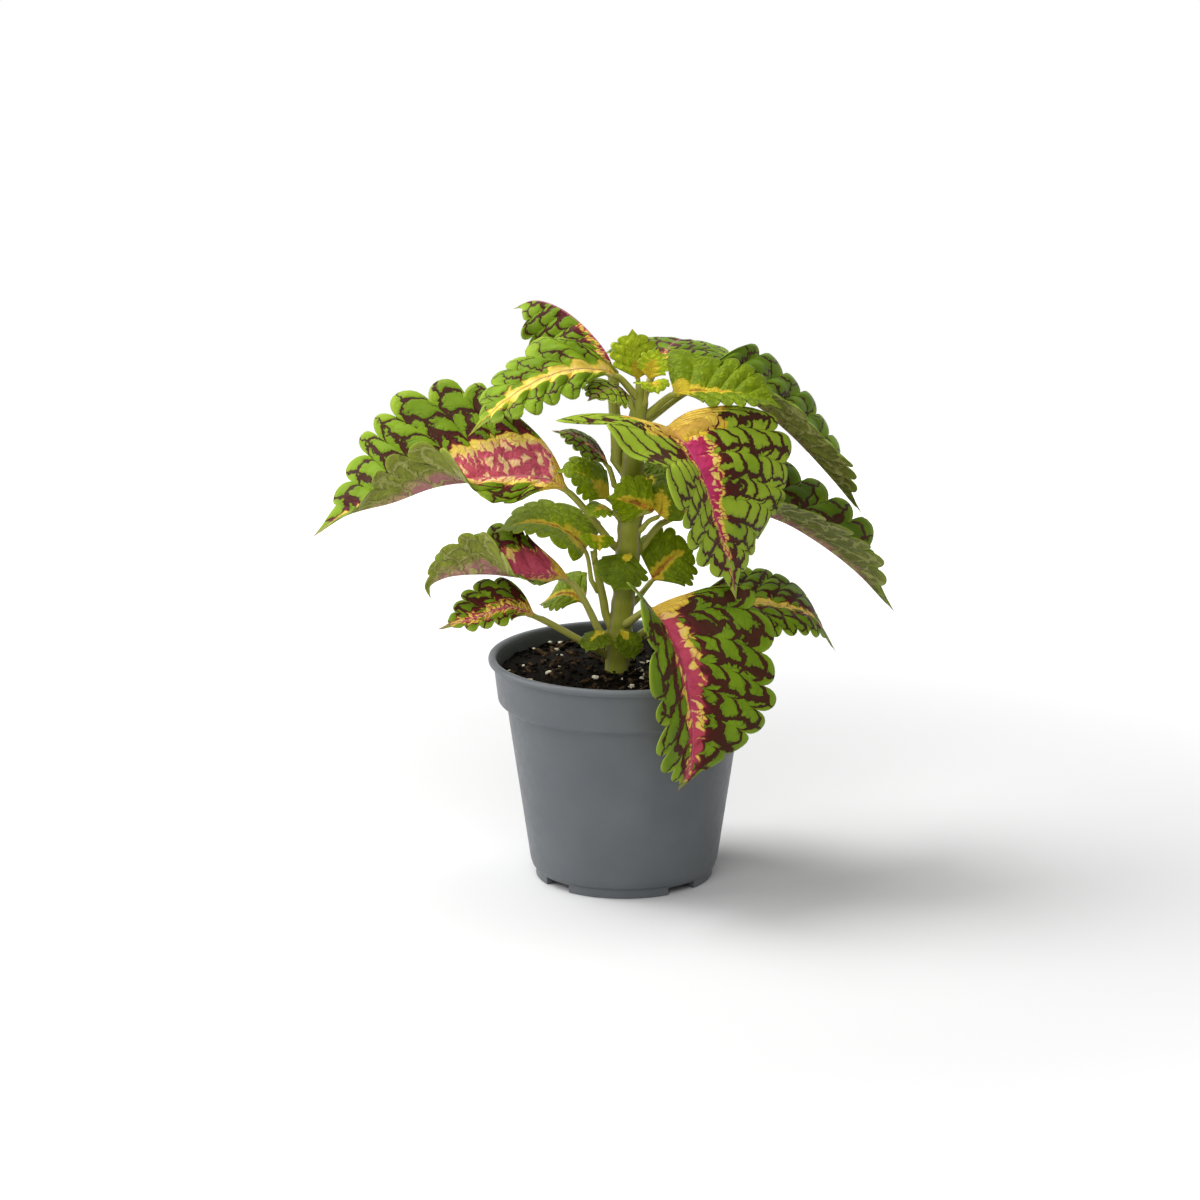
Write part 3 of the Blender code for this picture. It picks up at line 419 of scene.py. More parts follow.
def coleus_under():
    """Coleus leaf, underside: dull olive green, with raised pale veins round each cell and a pink
    flush by the midrib; the lighter margin is where the blade is thin."""
    mat, add = start("coleus leaf underside", roughness=0.6, specular_ior_level=0.12,
                     sheen_weight=0.05, sheen_roughness=0.3, sheen_tint="#e2e6d0")
    place, spot, steps, rim, (zone, cream, shade) = leaf_fields(add)
    net = add(TIMES, add(EDGES, Vector=spot, Scale=1, Randomness=0.5), 7.5)
    mesh = add(TIMES, add(EDGES, Vector=place, Scale=0.42, Randomness=0.9), 2.4)
    # the skin's depth of green also holds painted light for the leaf as a whole
    skin = add(RAMP, add(TIMES_PLUS, steps[0], 1.2, shade),
               stops=[(0, "#a8b43c"), (0.45, "#8e983a"), (1, "#66702c")])
    # the dark veins of the upper face show through as cloudy patches
    cloud = add(RANGE, net, 0.3, 2.2, 0.45, 0)
    skin = add(MIX, cloud, skin, "#766c3c")
    skin = add(MIX, add(RANGE, rim, 0, 2.2, 0.5, 0), skin, "#a2b23c")
    pink = add(SOFT_RANGE, add(TIMES_PLUS, steps[0], 6, zone), -2, 3, 0.85, 0)
    skin = add(MIX, pink, skin, add(MIX, add(RANGE, steps[1], -0.02, 0.12), "#b97484", "#cbab86"))
    skin = add(MIX, add(RANGE, cream, 0.1, 0.5), skin, "#cfca7c")
    line = add(HIGHER, add(RANGE, net, 0.25, 0.65, 0.75, 0),
               add(RANGE, mesh, 0.05, 0.25, 0.14, 0))
    colour = add(MIX, line, skin, "#b4b96a")
    ridge = add(HIGHER, add(RANGE, net, 0, 1, 1, 0), add(RANGE, mesh, 0, 0.6, 0.3, 0))
    bump = add(BUMP, Strength=0.9, Distance=0.8 * MM, Height=ridge)
    return finish_material(mat, Base_Color=colour, Normal=bump)


def young_upper():
    """Young coleus leaf, upper face: thin soft skin, fresh green with a yellow heart and a short
    rust-red streak on the midrib; the veins and the creases along them are darker, partly their
    own colour and partly painted shadow."""
    mat, add = start("young coleus leaf upper", roughness=0.45, specular_ior_level=0.1,
                     sheen_weight=0.03, sheen_roughness=0.3, sheen_tint="#e2ecc8")
    place, spot, steps, rim, (zone, cream, shade) = leaf_fields(add)
    net = add(TIMES, add(EDGES, Vector=spot, Scale=1, Randomness=0.4), 4)
    mesh = add(TIMES, add(EDGES, Vector=place, Scale=0.42, Randomness=0.9), 2.4)
    # the leaf's depth of green also holds painted light for the leaf as a whole
    green = add(RAMP, add(TIMES_PLUS, steps[0], 0.5, shade),
                stops=[(0, "#b4c626"), (0.35, "#93a90e"), (0.7, "#6d8104"), (1, "#4e5e02")])
    # darker veins: partly their own colour, partly painted shadow in the creases
    line = add(HIGHER, add(RANGE, net, 0.1, 0.8, 0.35, 0),
               add(RANGE, mesh, 0.05, 0.4, 0.15, 0))
    green = add(MIX, line, green, "#465806")
    green = add(MIX, add(RANGE, rim, 0, 0.8, 0.35, 0), green, "#98ab2c")
    reach = add(HIGHER, cream, add(RANGE, zone, 0, 2.5, 0.85, 0))
    reach = add(PLUS, reach, add(RANGE, net, 0, 1.6, 0.3, 0))
    reach = add(TIMES_PLUS, steps[1], 0.8, reach)
    yellow = add(SOFT_RANGE, reach, 0.42, 0.68)
    colour = add(MIX, yellow, green, "#ccb62e")
    streak = add(SOFT_RANGE, add(TIMES_PLUS, steps[0], 4, zone), -0.6, 0.5, 0.8, 0)
    rust = add(MIX, add(RANGE, steps[1], -0.08, 0.08), "#c8782c", "#7c2a1a")
    colour = add(MIX, streak, colour, rust)
    puff = add(SOFT_RANGE, add(LOWER, net, mesh), 0, 0.9)
    bump = add(BUMP, Strength=0.5, Distance=0.5 * MM, Height=puff)
    return finish_material(mat, Base_Color=colour, Normal=bump)


def stalk_skin(name, low, high, ridge):
    """Fleshy green stalk: waxy, slightly glossy skin with fine lengthwise fibres; ridges are
    flushed lilac on the square stem."""
    mat, add = start(name, roughness=0.45, specular_ior_level=0.25)
    turn, run, tone = add(SPLIT, add(FIELD, attribute_name="stalk").outputs["Vector"]).outputs
    fibre = add(NOISE, Vector=add(JOIN, add(TIMES, turn, 26), add(TIMES, run, 0.12), tone),
                Scale=1, Detail=3)
    cloud = add(NOISE, Vector=add(JOIN, turn, add(TIMES, run, 0.08), tone), Scale=1)
    skin = add(MIX, tone, low, high)
    skin = add(MIX, add(RANGE, fibre, 0.35, 0.7, 0, 0.35), skin, "#626c14")
    skin = add(MIX, add(RANGE, cloud, 0.4, 0.7, 0, 0.3), skin, "#bcbd5c")
    if ridge:
        corner = add(SOFT_RANGE, add(ZIGZAG, turn, 0.5), 0, 0.11, 0.75, 0)
        skin = add(MIX, corner, skin, ridge)
    bump = add(BUMP, Strength=0.25, Distance=0.3 * MM, Height=fibre)
    return finish_material(mat, Base_Color=skin, Normal=bump)


def pot_plastic():
    """Injection-moulded polypropylene: mid grey, satin, with the faint orange-peel of a cooled
    mould and a little dust."""
    mat, add = start("moulded polypropylene", ior=1.49, specular_ior_level=0.4)
    spot = add(COORDINATES).outputs["Object"]
    cloud = add(NOISE, Vector=spot, Scale=45, Detail=3)
    skin = add(MIX, add(RANGE, cloud, 0.35, 0.7), "#5c6064", "#63676a")
    dust = add(NOISE, Vector=spot, Scale=320, Detail=2)
    rough = add(RANGE, dust, 0.3, 0.7, 0.4, 0.52)
    peel = add(NOISE, Vector=spot, Scale=900, Detail=1)    # about 1 mm
    bump = add(BUMP, Strength=0.08, Distance=0.2 * MM, Height=peel)
    return finish_material(mat, Base_Color=skin, Roughness=rough, Normal=bump)


def loose(name, grain, stops, strength, deep, **settings):
    """a matt, pitted material; grain: its noise's scale in 1/m, detail and roughness"""
    mat, add = start(name, **settings)
    scale, detail, rough = grain
    pits = add(NOISE, Vector=add(COORDINATES).outputs["Object"], Scale=scale, Detail=detail,
               Roughness=rough)
    bump = add(BUMP, Strength=strength, Distance=deep, Height=pits)
    return finish_material(mat, Base_Color=add(RAMP, pits, stops=stops), Normal=bump)


# ---- shared shaping ----
def in_scene(name, data):
    """a new object in the scene; data: a bmesh, a lamp or a camera"""
    if isinstance(data, bmesh.types.BMesh):
        mesh = bpy.data.meshes.new(name)
        data.to_mesh(mesh)
        data.free()
        data = mesh
    made = bpy.data.objects.new(name, data)
    bpy.context.collection.objects.link(made)
    return made


def finish_piece(bm, name, materials, node):
    """the bmesh, in mm from the pot's axis, as a finished piece that stands for a CAD node"""
    for v in bm.verts:
        v.co = (v.co.x * MM + AXIS[0], v.co.y * MM + AXIS[1], v.co.z * MM + AXIS[2])
    for face in bm.faces:
        face.smooth = True
    piece = in_scene(name, bm)
    for mat in materials:
        piece.data.materials.append(mat)
    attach(piece, "root")
    if node:
        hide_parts(node)
    return piece


def share(value):
    """the value, kept between 0 and 1"""
    return np.clip(value, 0, 1)


def unit(vector):
    """the vector, or each of them, with length 1"""
    return vector / np.linalg.norm(vector, axis=-1, keepdims=True)


def smooth_path(points, count):
    """centripetal Catmull-Rom curve through the points, count samples evenly along it"""
    p = np.array(points, float)
    p = np.vstack([2 * p[0] - p[1], p, 2 * p[-1] - p[-2]])
    knot = np.r_[0, np.cumsum(np.linalg.norm(np.diff(p[:, :3], axis=0), axis=1) ** 0.5)]
    fine = []
    for i in range(1, len(p) - 2):
        t0, t1, t2, t3 = knot[i - 1:i + 3]
        for t in np.linspace(t1, t2, 40, endpoint=False):
            a, b, c = (((k1 - t) * q + (t - k0) * r) / (k1 - k0) for q, r, k0, k1 in (
                (p[i - 1], p[i], t0, t1), (p[i], p[i + 1], t1, t2), (p[i + 1], p[i + 2], t2, t3)))
            a, b = (((k1 - t) * q + (t - k0) * r) / (k1 - k0) for q, r, k0, k1 in (
                (a, b, t0, t2), (b, c, t1, t3)))
            fine.append(((t2 - t) * a + (t - t1) * b) / (t2 - t1))
    fine = np.array(fine + [p[-2]])
    run = np.r_[0, np.cumsum(np.linalg.norm(np.diff(fine[:, :3], axis=0), axis=1))]
    want = np.linspace(0, run[-1], count)
    return np.stack([np.interp(want, run, fine[:, k]) for k in range(fine.shape[1])], 1)


def blend(values, t):
    """values spread evenly over t = 0..1, eased from one to the next"""
    v = np.array(values, float)
    if len(v) == 1:
        return np.full_like(t, v[0])
    place = share(t) * (len(v) - 1)
    i = np.clip(place.astype(int), 0, len(v) - 2)
    s = place - i
    s = s * s * (3 - 2 * s)
    return v[i] * (1 - s) + v[i + 1] * s


def halves(pair, left, t):
    """one list blended over t on the left half, and the other on the right"""
    return np.where(left, blend(pair[0], t), blend(pair[1], t))


def stem_at(route, z):
    """axis and half thickness of a stem at a height"""
    points = smooth_path(route, 60)
    return np.array([np.interp(z, points[:, 2], points[:, k]) for k in (0, 1, 3)])


def of_half(value, side):
    """one half's part of a value that may be the same for both; side: 1 left, -1 right"""
    return value[0 if side > 0 else 1] if hasattr(value, "__len__") else value


# ---- leaves ----
class Blade:
    """the midrib as a curve, and the bent surface that hangs on it, as in the solids"""

    def __init__(self, spec):
        self.spec = spec
        az = radians(spec["azimuth"])
        out = np.array([cos(az), sin(az), 0.0])
        self.across = np.array([-sin(az), cos(az), 0.0])
        low = spec["route"][0][1]
        x, y, _ = stem_at(spec["stem"], low)
        thick = stem_at(spec["stem"], low - 1.5)[2]
        axis = np.array([x, y, 0.0])
        # the petiole starts clear of the stem, and a steep one farther out for its own thickness
        start = thick * (1 + STEM_SQUARE) + CLEAR
        rise = atan2(spec["route"][1][1] - low, spec["route"][1][0] - start)
        if cos(rise) < 0.55:
            start += spec["petiole"] * 1.12 * sin(rise)
        route = [(start, low)] + list(spec["route"][1:])
        sway = spec["sway"] or [0.0] * len(route)
        points = [axis + out * r + np.array([0, 0, z]) + self.across * left
                  for (r, z), left in zip(route, sway)]
        fine = smooth_path(points, 400)
        k = int(np.argmin(np.linalg.norm(fine - points[spec["joint"]], axis=1)))
        self.stalk, self.rib = fine[:k + 1], fine[k:]
        self.foot = axis + out * 0.3 * thick + np.array([0, 0, low])
        self.run = np.r_[0, np.cumsum(np.linalg.norm(np.diff(self.rib, axis=0), axis=1))]
        self.length = self.run[-1]

    def point(self, y):
        """place on the midrib at y mm from its start"""
        y = np.clip(y, 0, self.length)
        return np.stack([np.interp(y, self.run, self.rib[:, k]) for k in range(3)], -1)

    def frame(self, y):
        """place on the midrib, and the ways across and up from the blade there"""
        y = np.asarray(y, float)
        step = 0.04 * self.length
        inside = np.clip(y, 0, self.length)
        ahead = unit(self.point(inside + step) - self.point(inside - step))
        at = self.point(y) + ahead * (y - inside)[..., None]
        side = unit(self.across - ahead * (ahead @ self.across)[..., None])
        up = np.cross(ahead, side)
        turn = np.radians(blend(self.spec["roll"], y / self.length))[..., None]
        return (at, side * np.cos(turn) + up * np.sin(turn),
                up * np.cos(turn) - side * np.sin(turn))

    def flat(self, u, t, side):
        """place in the flat blade at share u of the line that leaves the midrib at share t;
        these lines end in the notches and the margin swells into a lobe between two"""
        s = self.spec
        base, forward, width = (of_half(s[k], side) for k in ("base", "forward", "width"))
        rise = base + (1 - base) * np.sin(share(t / WIDEST) * pi / 2)
        fall = np.cos(share((t - WIDEST) / (1 - WIDEST)) * pi / 2) ** s["taper"]
        shape = np.where(t < WIDEST, rise, fall * (1 - 0.5 * share((t - 0.6) / 0.3)))
        span = LOBED / s["lobes"]
        phase = np.clip(t / span, 0, s["lobes"] - 1e-9) % 1.0
        lobe = np.where(t < LOBED, np.sqrt(share(1 - (2 * phase - 1) ** 2)), 0)
        near = share(t / 0.3)
        root = np.clip(t / 0.06, 0.06, 1) ** 0.8
        reach_x = width * shape * root
        reach_y = (forward * (1 - near) + 0.17 * near + 0.2 * t) * self.length * (1 - t) * root
        size = np.hypot(reach_x, reach_y) + 1e-9
        # cut deeper than in the solid, and no two lobes alike
        deep = s["deep"] * share(t / 0.05) * share((0.86 - t) / 0.06)
        vary = 1 + 0.15 * np.sin(2.4 * np.floor(t / span) + s["azimuth"] + side)
        swell = 0.5 * self.length * span * u ** 3 * np.clip(shape * 1.5, 0.35, 1)
        swell = swell * ((1 + deep) * lobe * vary - 0.45 * deep)
        # lobes stand square to the margin, but near the petiole they follow the side veins
        turn = share((t - 0.06) / 0.1)
        dx, dy = np.gradient(reach_x[:, 0]), np.gradient(self.length * t[:, 0] + reach_y[:, 0])
        run = np.hypot(dx, dy) + 1e-9
        x = reach_x * u + swell * (turn * (dy / run)[:, None] + (1 - turn) * reach_x / size)
        y = self.length * t + reach_y * u ** 1.3 + swell * (
            turn * (-dx / run)[:, None] + (1 - turn) * reach_y / size)
        return x * side, y

    def bend(self, x, y):
        """place in space of a place in the flat blade"""
        at, across, up = self.frame(y)
        t = np.asarray(y) / self.length
        left = np.asarray(x) >= 0
        f, c = (np.radians(halves(self.spec[key], left, t)) for key in ("fold", "curl"))
        c = np.where(abs(c) < 1e-4, 1e-4, c)
        width = max(self.spec["width"])
        s = abs(x) / width
        gone = width * (np.sin(f + c * s) - np.sin(f)) / c
        risen = -width * (np.cos(f + c * s) - np.cos(f)) / c
        return at + across * (np.where(left, 1, -1) * gone)[..., None] + up * risen[..., None]


def tube_frame(stalk, across, i):
    """the ways ahead, across and up at a point of the petiole"""
    ahead = unit(stalk[min(i + 6, len(stalk) - 1)] - stalk[max(i - 6, 0)])
    side = unit(across - ahead * (ahead @ across))
    return ahead, side, np.cross(ahead, side)


def build_leaf(spec, number, materials):
    """a leaf and its petiole; materials: upper face, lower face and petiole"""
    blade = Blade(spec)
    big = spec["kind"] == "mature" and spec["lobes"] > 5
    half, per_lobe, tip_rows, stalk_rows = (34, 12, 16, 14) if big else (18, 8, 9, 9)
    span = LOBED / spec["lobes"]
    # rows along the midrib, closer together at the notches
    part = (1 - np.cos(np.pi * np.arange(per_lobe) / per_lobe)) / 2
    rows = np.concatenate([span * (i + part) for i in range(spec["lobes"])]
                          + [LOBED + (1 - LOBED) * np.sin(np.linspace(0, pi / 2, tip_rows))])
    rows = np.unique(np.r_[rows, 0.004, 0.012, 0.02, 0.035, 0.055])
    side_rows = 2 * half + 1
    across = np.linspace(-1, 1, side_rows)
    across = np.sign(across) * abs(across) ** 1.15
    count = 2 * side_rows
    total = stalk_rows + len(rows)
    # one closed sleeve: the petiole's skin runs on into the blade's upper and lower faces
    bm = bmesh.new()
    bmesh.ops.create_grid(bm, x_segments=count, y_segments=total - 1, size=1.0)
    bm.verts.ensure_lookup_table()
    col = np.array([round((v.co.x + 1) / 2 * count) for v in bm.verts]) % count
    row = np.array([round((v.co.y + 1) / 2 * (total - 1)) for v in bm.verts])

    # fields on the flat blade, row by column
    tt, uu = np.meshgrid(rows, across, indexing="ij")
    left, middle = uu >= 0, abs(uu) < 1e-9
    x, y = (np.where(left, *pair) for pair in zip(
        blade.flat(abs(uu), tt, 1), blade.flat(abs(uu), tt, -1)))
    x = np.where(middle, 1e-6, x)
    # side veins counted along the margin, where each ends in a notch, and rows of cells inwards
    side_count = tt * (spec["lobes"] / LOBED)
    rim = (1 - abs(uu)) * np.hypot(np.where(left, abs(x)[:, [-1]], abs(x)[:, [0]]), 2.0)
    rim = np.minimum(rim, (1 - tt) * blade.length * 0.5 + 0.3)
    size = min(max(0.6 * blade.length / spec["lobes"], 3.5), 8.0)
    row_in = (rim + 1.8) / size
    # the coloured band by the midrib, and the pale base
    zone = abs(x) - halves(spec["zone"], left, tt)
    if spec["look"] == "mature":
        hem = 0.35 * spec["cream"] - tt * blade.length
        cream = share((spec["cream"] - np.hypot(x, y)) / 8.0) * share(hem / 4.0 + 0.5)
    else:
        cream = share(1.15 - np.hypot(x * 1.6, np.maximum(y - 2.0, 0)) / (spec["cream"] + 3.0))

    # quilting: the sheet swells between side veins and between cross veins
    wave = abs(np.sin(np.pi * side_count)) ** 0.7
    cells = 0.5 + 0.5 * abs(np.sin(np.pi * row_in)) ** 0.7
    edge = share(rim / 3.0) * share(abs(x) / 3.0) * share((1 - tt) / 0.2)
    lump = 0.14 * size * spec["quilt"] * (wave * cells - 0.5) * edge
    lump += 0.5 * (0.5 - wave) * abs(uu) ** 6 * share(tt / 0.1) * (tt < LOBED)
    # the way up from the blade; on the midrib, the mean of both halves
    step, up = 0.05, 0
    for beside in (0.3, -0.3):
        xs = np.where(middle, beside, x)
        dx = blade.bend(xs + step, y) - blade.bend(xs - step, y)
        dy = blade.bend(xs, y + step) - blade.bend(xs, y - step)
        n = np.cross(dy, dx)
        up = up - n / (np.linalg.norm(n, axis=-1, keepdims=True) + 1e-12)
    up = unit(up)
    if (up[0, half] @ blade.frame(np.array(0.5))[2]) < 0:
        up = -up
    mid = blade.bend(x, y) + up * lump[..., None]
    # the blade thins out to its tip, and the midrib is a ridge underneath
    thick = (THIN + (THICK - THIN) * (1 - uu ** 2)) * np.where(tt > 0.9, (1 - tt) / 0.1, 1)
    rib = spec["petiole"] * (1 - tt) ** 0.7 * 0.9 + 0.15
    ridge = rib * np.sqrt(share(1 - (x / (rib * 1.15)) ** 2)) * (tt <= 0.95)
    shell = np.concatenate([mid + up * (thick / 2)[..., None],
                            (mid - up * (thick / 2 + ridge * 0.9)[..., None])[:, ::-1]], axis=1)

    # the petiole's rings, from inside the stem to the blade
    picks = np.linspace(0, len(blade.stalk) - 1, stalk_rows + 1).astype(int)[:-1]
    turn = (np.arange(side_rows) + 0.5) / side_rows
    angle = pi * np.concatenate([1 - turn, -turn])
    groove = 1 - 0.16 * share(np.sin(angle)) ** 4
    rings = []
    for n, i in enumerate(picks):
        ahead, side, above = tube_frame(blade.stalk, blade.across, i)
        r = spec["petiole"] * (1.0 + 0.25 * (1 - n / stalk_rows) ** 3)
        centre = blade.stalk[i]
        if n == 0:
            # the foot is rooted inside the stem, a little lower
            centre = blade.foot - np.array([0, 0, 1.0 + 2.5 * max(ahead[2], 0.0)])
        rings.append(centre + r * (side * np.cos(angle)[:, None]
                                   + above * (np.sin(angle) * groove)[:, None]))
    places = np.concatenate([np.array(rings), shell])

    # what the materials read at each vertex, petiole rows first
    def on_sleeve(on_blade, on_stalk):
        upper = np.broadcast_to(on_blade, uu.shape)
        return np.vstack([np.full((stalk_rows, count), on_stalk),
                          np.hstack([upper, upper[:, ::-1]])])

    seed = number * 37.0
    stalk_run = np.concatenate([np.array(picks) / len(blade.stalk) - 1.0, rows * 3.0])
    fields = {
        "place": [on_sleeve(x, 0), on_sleeve(y, 0), on_sleeve(seed, seed)],
        "veins": [on_sleeve(side_count + 20 * number + 9 * (uu < 0), 0), on_sleeve(row_in, 1),
                  on_sleeve(rim, 5)],
        # zones: magenta, cream, and depth of green with painted light
        "zones": [on_sleeve(zone, 5), on_sleeve(cream, 1),
                  on_sleeve(spec["shade"], spec["shade"])],
        "finger": [on_sleeve(v, v) for v in (1 / spec["finger"], spec["blobs"], spec["heavy"])],
        "stalk": [np.tile(angle / (2 * pi) + 0.5, (total, 1)),
                  np.tile(stalk_run[:, None] * 20 + seed, (1, count)),
                  on_sleeve(spec["stalk"], spec["stalk"])],
    }
    layers = {key: bm.verts.layers.float_vector.new(key) for key in fields}
    tables = {key: np.stack(parts, -1)[row, col] for key, parts in fields.items()}
    for k, (v, spot) in enumerate(zip(bm.verts, places[row, col])):
        v.co = spot
        for key, layer in layers.items():
            v[layer] = tables[key][k]
    # petiole, upper face, lower face with the ridge of the midrib in the petiole's skin
    bm.verts.index_update()
    for face in bm.faces:
        here = [v.index for v in face.verts]
        low, high = min(col[here]), max(col[here])
        if max(row[here]) <= stalk_rows:
            face.material_index = 2
        else:
            face.material_index = 0 if high < side_rows or high - low == count - 1 else 1
    bmesh.ops.remove_doubles(bm, verts=bm.verts, dist=1e-4)
    bmesh.ops.holes_fill(bm, edges=[e for e in bm.edges if e.is_boundary], sides=0)
    if bm.calc_volume(signed=True) < 0:
        bmesh.ops.reverse_faces(bm, faces=bm.faces[:])
    finish_piece(bm, spec["name"] + "_skin", materials, spec["name"])


# ---- stems ----
def build_stem(name, route, node, mat, sides, swollen):
    """a square stem with a ridge on each corner, thicker where leaves join it"""
    points = smooth_path(route, 90)
    bm = bmesh.new()
    skin = bm.verts.layers.float_vector.new("stalk")
    ring = bmesh.ops.create_circle(bm, segments=sides, radius=1.0, cap_ends=True)["verts"]
    turn = np.array([atan2(v.co.y, v.co.x) for v in ring])
    for n, (x, y, z, r) in enumerate(points):
        if n:
            edges = [e for e in bm.edges if all(v in last for v in e.verts)]
            new = bmesh.ops.extrude_edge_only(bm, edges=edges)["geom"]
            ring = [g for g in new if isinstance(g, bmesh.types.BMVert)]
            turn = np.array([atan2(v.co.y - was[1], v.co.x - was[0]) for v in ring])
        corner = np.cos(4 * (turn - pi / 4))
        bulge = sum(0.10 * exp(-((z - s) / 2.2) ** 2) for s in swollen)
        radius = r * (1 + 0.035 * corner + 0.04 * np.clip(corner, 0, 1) ** 6 + bulge)
        for v, a, q in zip(ring, turn, radius):
            v.co = (x + q * cos(a), y + q * sin(a), z)
            v[skin] = ((a / (2 * pi) * 4 - 0.5) % 4, z, 0.25 + 0.3 * (z < 110))
        last, was = set(ring), (x, y)
    bmesh.ops.edgeloop_fill(bm, edges=[e for e in bm.edges if e.is_boundary])
    bmesh.ops.recalc_face_normals(bm, faces=bm.faces)
    finish_piece(bm, name, [mat], node)


# ---- pot ----
def notch(turn):
    """what a gap in the foot ring takes away"""
    tool = bmesh.new()
    inner, outer, top = FOOT_INNER_RADIUS - 2, FOOT_RADIUS + 3, FOOT_HEIGHT - 0.4
    tool.faces.new([tool.verts.new(p) for p in (
        (inner, 0, -1), (outer, 0, -1), (outer, 0, top), (inner, 0, top))])
    wide = radians(NOTCH_WIDTH)
    bmesh.ops.rotate(tool, verts=tool.verts[:], cent=(0, 0, 0),
                     matrix=Matrix.Rotation(turn - wide / 2, 3, "Z"))
    bmesh.ops.spin(tool, geom=tool.faces[:] + tool.edges[:] + tool.verts[:], cent=(0, 0, 0),
                   axis=(0, 0, 1), angle=wide, steps=8)
    return tool


def drain(turn):
    """what a drain hole takes away"""
    tool = bmesh.new()
    bmesh.ops.create_cone(tool, cap_ends=True, segments=32, radius1=DRAIN_RADIUS,
                          radius2=DRAIN_RADIUS, depth=6.0)
    bmesh.ops.translate(tool, verts=tool.verts[:], vec=(
        DRAIN_AT * cos(turn), DRAIN_AT * sin(turn), 4.0))
    return tool


def cut(piece, tool):
    """takes a closed bmesh, in mm from the pot's axis, out of a piece"""
    bmesh.ops.recalc_face_normals(tool, faces=tool.faces)
    for v in tool.verts:
        v.co = v.co * MM + Vector(AXIS)
    cutter = in_scene("cutter", tool)
    gap = piece.modifiers.new("cut", "BOOLEAN")
    gap.operation, gap.solver, gap.object = "DIFFERENCE", "EXACT", cutter
    with bpy.context.temp_override(object=piece, active_object=piece, selected_objects=[piece]):
        bpy.ops.object.modifier_apply(modifier=gap.name)
    mesh = cutter.data
    bpy.data.objects.remove(cutter)
    bpy.data.meshes.remove(mesh)


def build_pot(mat):
    """the outline of the wall, turned round the axis, with the gaps and holes cut out"""
    top, lip = POT_HEIGHT, LIP_HEIGHT
    profile = [(0, FOOT_HEIGHT), (FOOT_INNER_RADIUS - 0.3, FOOT_HEIGHT), (FOOT_INNER_RADIUS, 0),
               (FOOT_RADIUS, 0), (FOOT_RADIUS, FOOT_HEIGHT), (FOOT_RADIUS + 1.3, FOOT_HEIGHT + 1),
               (FOOT_EDGE_RADIUS, FOOT_EDGE), (SHOULDER_RADIUS, SHOULDER),
               (SHOULDER_RADIUS + 0.7, SHOULDER + 1.3),
               (BAND_BOTTOM_RADIUS - 0.8, BAND_BOTTOM - 0.5),
               (BAND_BOTTOM_RADIUS, BAND_BOTTOM + 0.5), (BAND_TOP_RADIUS, top - lip),
               (RIM_RADIUS - 0.4, top - lip + 0.4), (RIM_RADIUS, top - 1.5),
               (RIM_RADIUS - 0.4, top - 0.4), (RIM_RADIUS - 1.3, top),
               (RIM_RADIUS - LIP_WIDTH, top - 0.3), (RIM_RADIUS - LIP_WIDTH - 0.6, top - 1.2),
               (BAND_TOP_RADIUS - WALL - 0.2, top - lip),
               (BAND_BOTTOM_RADIUS - WALL, BAND_BOTTOM + 0.6),
               (SHOULDER_RADIUS - WALL + 0.4, SHOULDER + 0.2),
               (SHOULDER_RADIUS - WALL, SHOULDER - 1.5),
               (FOOT_EDGE_RADIUS - WALL - 0.2, FLOOR_TOP + 2.0),
               (FOOT_EDGE_RADIUS - WALL - 2.0, FLOOR_TOP), (0, FLOOR_TOP)]
    bm = bmesh.new()
    chain = [bm.verts.new((r, 0, z)) for r, z in profile]
    for a, b in zip(chain, chain[1:]):
        bm.edges.new((a, b))
    bmesh.ops.bevel(bm, geom=chain[4:-2], offset=0.32, segments=3, profile=0.5, material=-1,
                    affect="VERTICES")
    bmesh.ops.spin(bm, geom=bm.verts[:] + bm.edges[:], cent=(0, 0, 0), axis=(0, 0, 1),
                   angle=2 * pi, steps=ROUND, use_merge=True)
    bmesh.ops.remove_doubles(bm, verts=bm.verts, dist=1e-4)
    bmesh.ops.recalc_face_normals(bm, faces=bm.faces)
    pot = finish_piece(bm, "pot_shell", [mat], "pot")
    for i in range(NOTCHES):
        turn = radians(NOTCH_TURN + i * 360.0 / NOTCHES)
        cut(pot, notch(turn))
        cut(pot, drain(turn))
    pot.data.set_sharp_from_angle(angle=radians(POT_SHARP))


# ---- soil ----
def soil_height(x, y):
    """the solid's gentle lumps, with crumbs on them"""
    lump = (sin(x * 0.31 + 1.0) * cos(y * 0.27 - 0.4)
            + 0.6 * sin(x * 0.13 - y * 0.22) + 0.5 * cos(x * 0.52 + y * 0.47))
    fine = noise.fractal(Vector((x, y, 3.0)) * 0.45, 1.0, 2.0, 4)
    rough = noise.noise(Vector((x, y, 9.0)) * 1.3)
    return SOIL_LEVEL + HEAP + 0.54 * lump + 1.1 * fine + 0.45 * rough


